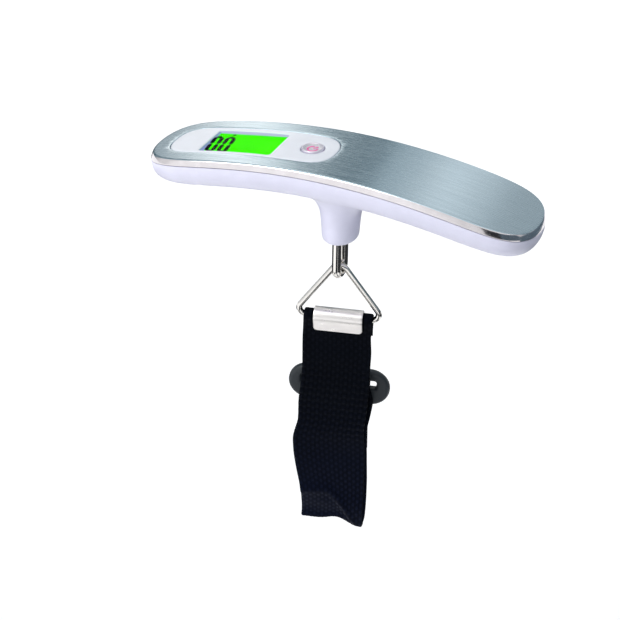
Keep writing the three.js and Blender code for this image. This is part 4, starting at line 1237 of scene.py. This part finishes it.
def make_toggle():
    m = Mesh()
    length, high, half = TOGGLE["length"], TOGGLE["height"], TOGGLE["thick"] / 2
    centre_z = TOGGLE["top"] - high / 2
    slot_z = SLOT_TOP - TOGGLE["slot"][1] / 2 - centre_z

    def outer(grow):
        return rounded_loop(length, high, high / 2 - 0.05, grow, 20, 14)

    def inner(grow):
        return [(x, z + slot_z) for x, z in rounded_loop(*TOGGLE["slot"], 0.9, grow, 20, 14)]

    def place(loop, depth):
        return m.ring([hung(x, TOGGLE["v"] - depth, z + centre_z) for x, z in loop])

    soft = [(-1.5, 0.0), (-1.0, 0.05), (-0.62, 0.18), (-0.3, 0.42), (-0.1, 0.75), (0.0, 1.15)]
    hole = [(0.9, 0.0), (0.55, 0.06), (0.28, 0.2), (0.1, 0.42), (0.0, 0.75)]
    chains = [[place(shape(g), side * (half - d)) for g, d in steps]
              for shape, steps in ((outer, soft), (inner, hole)) for side in (1, -1)]
    for chain in chains:
        for a, b in zip(chain, chain[1:]):
            m.bridge(a, b)
    front_outer, back_outer, front_inner, back_inner = chains
    m.bridge(front_outer[-1], back_outer[-1])
    m.bridge(front_inner[-1], back_inner[-1])
    for rim, slot_edge in ((front_outer[0], front_inner[0]), (back_outer[0], back_inner[0])):
        last = rim
        for share in (0.34, 0.67):
            last = m.chain(last, [[tuple(p + (q - p) * share for p, q in zip(m.points[i], m.points[j]))
                                   for i, j in zip(rim, slot_edge)]])
        m.bridge(last, slot_edge)
    finish_piece(m, "toggle_plate", "toggle", ["toggle_plastic"], ["toggle_buckle"], 50)


# ---------------------------------------------------------------- build everything

make_cover()
make_bezel()
make_display_edge()
make_display_marks()
make_button()
make_button_mark()
make_lower_shell()
make_door()
make_wires()
make_clamp()
make_strap()
make_toggle()

NODE_LOOKS = {
    "upper_shell": "white_shell", "window_lens": "window", "lcd_panel": "display",
    "backlight_panel": "light_guide", "backlight_led": "lamp", "zebra_strip": "elastomer",
    "main_pcb": "board", "controller_chip": "potting", "button_switch": "switch_body", "coin_cell": "nickel",
    "battery_contact_minus": "nickel", "battery_contact_plus": "nickel", "load_cell": "beam",
    "strain_gauge_top": "gauge_film", "strain_gauge_bottom": "gauge_film", "load_cell_bolt_1": "nickel",
    "load_cell_bolt_2": "nickel", "hook_pin": "nickel", "gauge_cable": "lead",
}
NODE_LOOKS.update({f"case_screw_{i}": "nickel" for i in range(1, 5)})
for node_name, look_name in NODE_LOOKS.items():
    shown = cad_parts[node_name]
    shown.data.materials.clear()
    shown.data.materials.append(LOOKS[look_name])


# ---------------------------------------------------------------- floor and surroundings

FLOOR_DROP, FLOOR_HALF = 0.30, 12.0


def make_floor():
    low_z, half = CAD_BOX[0][2] - FLOOR_DROP, FLOOR_HALF
    data = bpy.data.meshes.new("floor")
    data.from_pydata([(-half, -half, low_z), (half, -half, low_z), (half, half, low_z), (-half, half, low_z)],
                     [], [(0, 1, 2, 3)])
    paper, n = material("floor_paper")
    tooth = n.noise(n.place(), 400.0, 3.0)
    surface(n, Base_Color=n.mix(n.ramp(tooth, 0.3, 0.7), (0.93, 0.93, 0.935), (0.95, 0.95, 0.955)),
            Roughness=0.9, Emission_Color=(1.0, 1.0, 1.0), Emission_Strength=0.46)
    data.materials.append(paper)
    linked("floor", data)


def felt(name, dark, light):
    made, n = material(name)
    nap = n.noise(n.place(), 900.0, 4.0)
    surface(n, Base_Color=n.mix(n.ramp(nap, 0.3, 0.7), dark, light), Roughness=0.95)
    return made


def card(name, points, faces, cloth):
    """A dark card that shows in reflections only."""
    data = bpy.data.meshes.new(name)
    data.from_pydata(points, [], faces)
    data.materials.append(cloth)
    made = linked(name, data)
    made.visible_camera = False
    made.visible_shadow = False


BLACK = felt("black_felt", (0.016, 0.018, 0.022), (0.030, 0.032, 0.038))
SLATE = felt("slate_felt", (0.09, 0.135, 0.17), (0.105, 0.155, 0.195))
# Curved cards round the object: bearings from straight ahead in degrees, distance, lowest and highest z
FLAGS = {
    "flag_wires": (4, 50, 0.36, -0.45, -0.22, BLACK),
    "flag_wires_left": (-38, -4, 0.26, -0.36, -0.27, BLACK),
    "flag_wires_back": (112, 298, 0.36, -0.40, -0.20, BLACK),
    "flag_right_end": (18, 40, 0.36, 0.0, 0.20, BLACK),
    "flag_right_turn": (40, 83, 0.36, 0.0, 0.20, SLATE),
    "flag_right_back": (80, 150, 0.36, -0.10, 0.05, SLATE),
    "flag_left_back": (-165, -118, 0.36, -0.14, 0.02, BLACK),
    "flag_neck": (54, 112, 0.20, -0.20, -0.045, BLACK),
}
# Round cards under the object: middle x and y
DISCS = {
    "flag_under_right": (0.115, -0.03), "flag_under_left": (-0.11, -0.165),
    "flag_low_right": (0.13, -0.14), "flag_low_left": (-0.065, -0.27),
}
DISC_RADIUS, DISC_Z, DISC_SIDES = 0.05, -0.30, 24


def make_flags():
    for name, (start, end, distance, low, high, cloth) in FLAGS.items():
        steps = max(4, int(abs(end - start) / 5))
        turns = [math.radians(start + (end - start) * k / steps) for k in range(steps + 1)]
        points = [(distance * math.sin(t), -distance * math.cos(t), z) for z in (low, high) for t in turns]
        card(name, points, [(k, k + 1, steps + 2 + k, steps + 1 + k) for k in range(steps)], cloth)
    for name, (x, y) in DISCS.items():
        rim = [2 * math.pi * k / DISC_SIDES for k in range(DISC_SIDES)]
        points = [(x + DISC_RADIUS * math.cos(t), y + DISC_RADIUS * math.sin(t), DISC_Z) for t in rim]
        card(name, points, [tuple(range(DISC_SIDES))], BLACK)


# Light panels of the surroundings: bearings in degrees left of straight back, softness, added level
PANELS = [(27.5, 46, 2.0, 0.50), (31, 35, 1.5, 2.15), (5.0, 9.5, 2.5, 0.36), (-60, 15.5, 5.5, 0.285),
          (126, 172, 6, 0.25)]
LEVEL, REAR_DIP, TOP_GLOW = 0.76, 0.58, 0.3


def make_world():
    """A studio that reflections see: pale in front, dimmer behind, with soft-edged brighter panels."""
    world = bpy.data.worlds.new("studio")
    bpy.context.scene.world = world
    world.use_nodes = True
    n = Nodes(world.node_tree)
    sideways, ahead, rise = n.add("ShaderNodeSeparateXYZ",
                                  {0: n.add("ShaderNodeTexCoord").outputs["Generated"]}).outputs
    bearing = n.math("ARCTAN2", n.math("MULTIPLY", sideways, -1.0), ahead)

    def panel(start, end, soft):
        """One where the bearing is inside a soft-edged panel."""
        a, b, c = (math.radians(d) for d in (start, end, soft))
        return n.math("MULTIPLY", n.ramp(bearing, a - c, a + c), n.ramp(bearing, b + c, b - c))

    level = n.math("SUBTRACT", LEVEL, n.math("MULTIPLY", panel(-85, 85, 25), REAR_DIP))
    for start, end, soft, gain in PANELS:
        level = n.math("ADD", level, n.math("MULTIPLY", panel(start, end, soft), gain))
    level = n.math("ADD", level, n.ramp(rise, 0.80, 1.0, 0.0, TOP_GLOW))
    tint = n.mix(n.ramp(level, 0.15, 0.6), (0.60, 0.86, 1.0), (0.97, 0.985, 1.0))
    tint = n.mix(n.ramp(level, 0.9, 2.2), tint, (1.0, 0.92, 0.86))
    sky = n.add("ShaderNodeBackground", {"Color": tint, "Strength": level})
    backdrop = n.add("ShaderNodeBackground", {"Color": (1.0, 1.0, 1.0, 1.0), "Strength": 1.0})
    seen = n.add("ShaderNodeLightPath").outputs["Is Camera Ray"]
    n.output(n.add("ShaderNodeMixShader", {0: seen, 1: sky, 2: backdrop}), "ShaderNodeOutputWorld")


make_floor()
make_flags()
make_world()
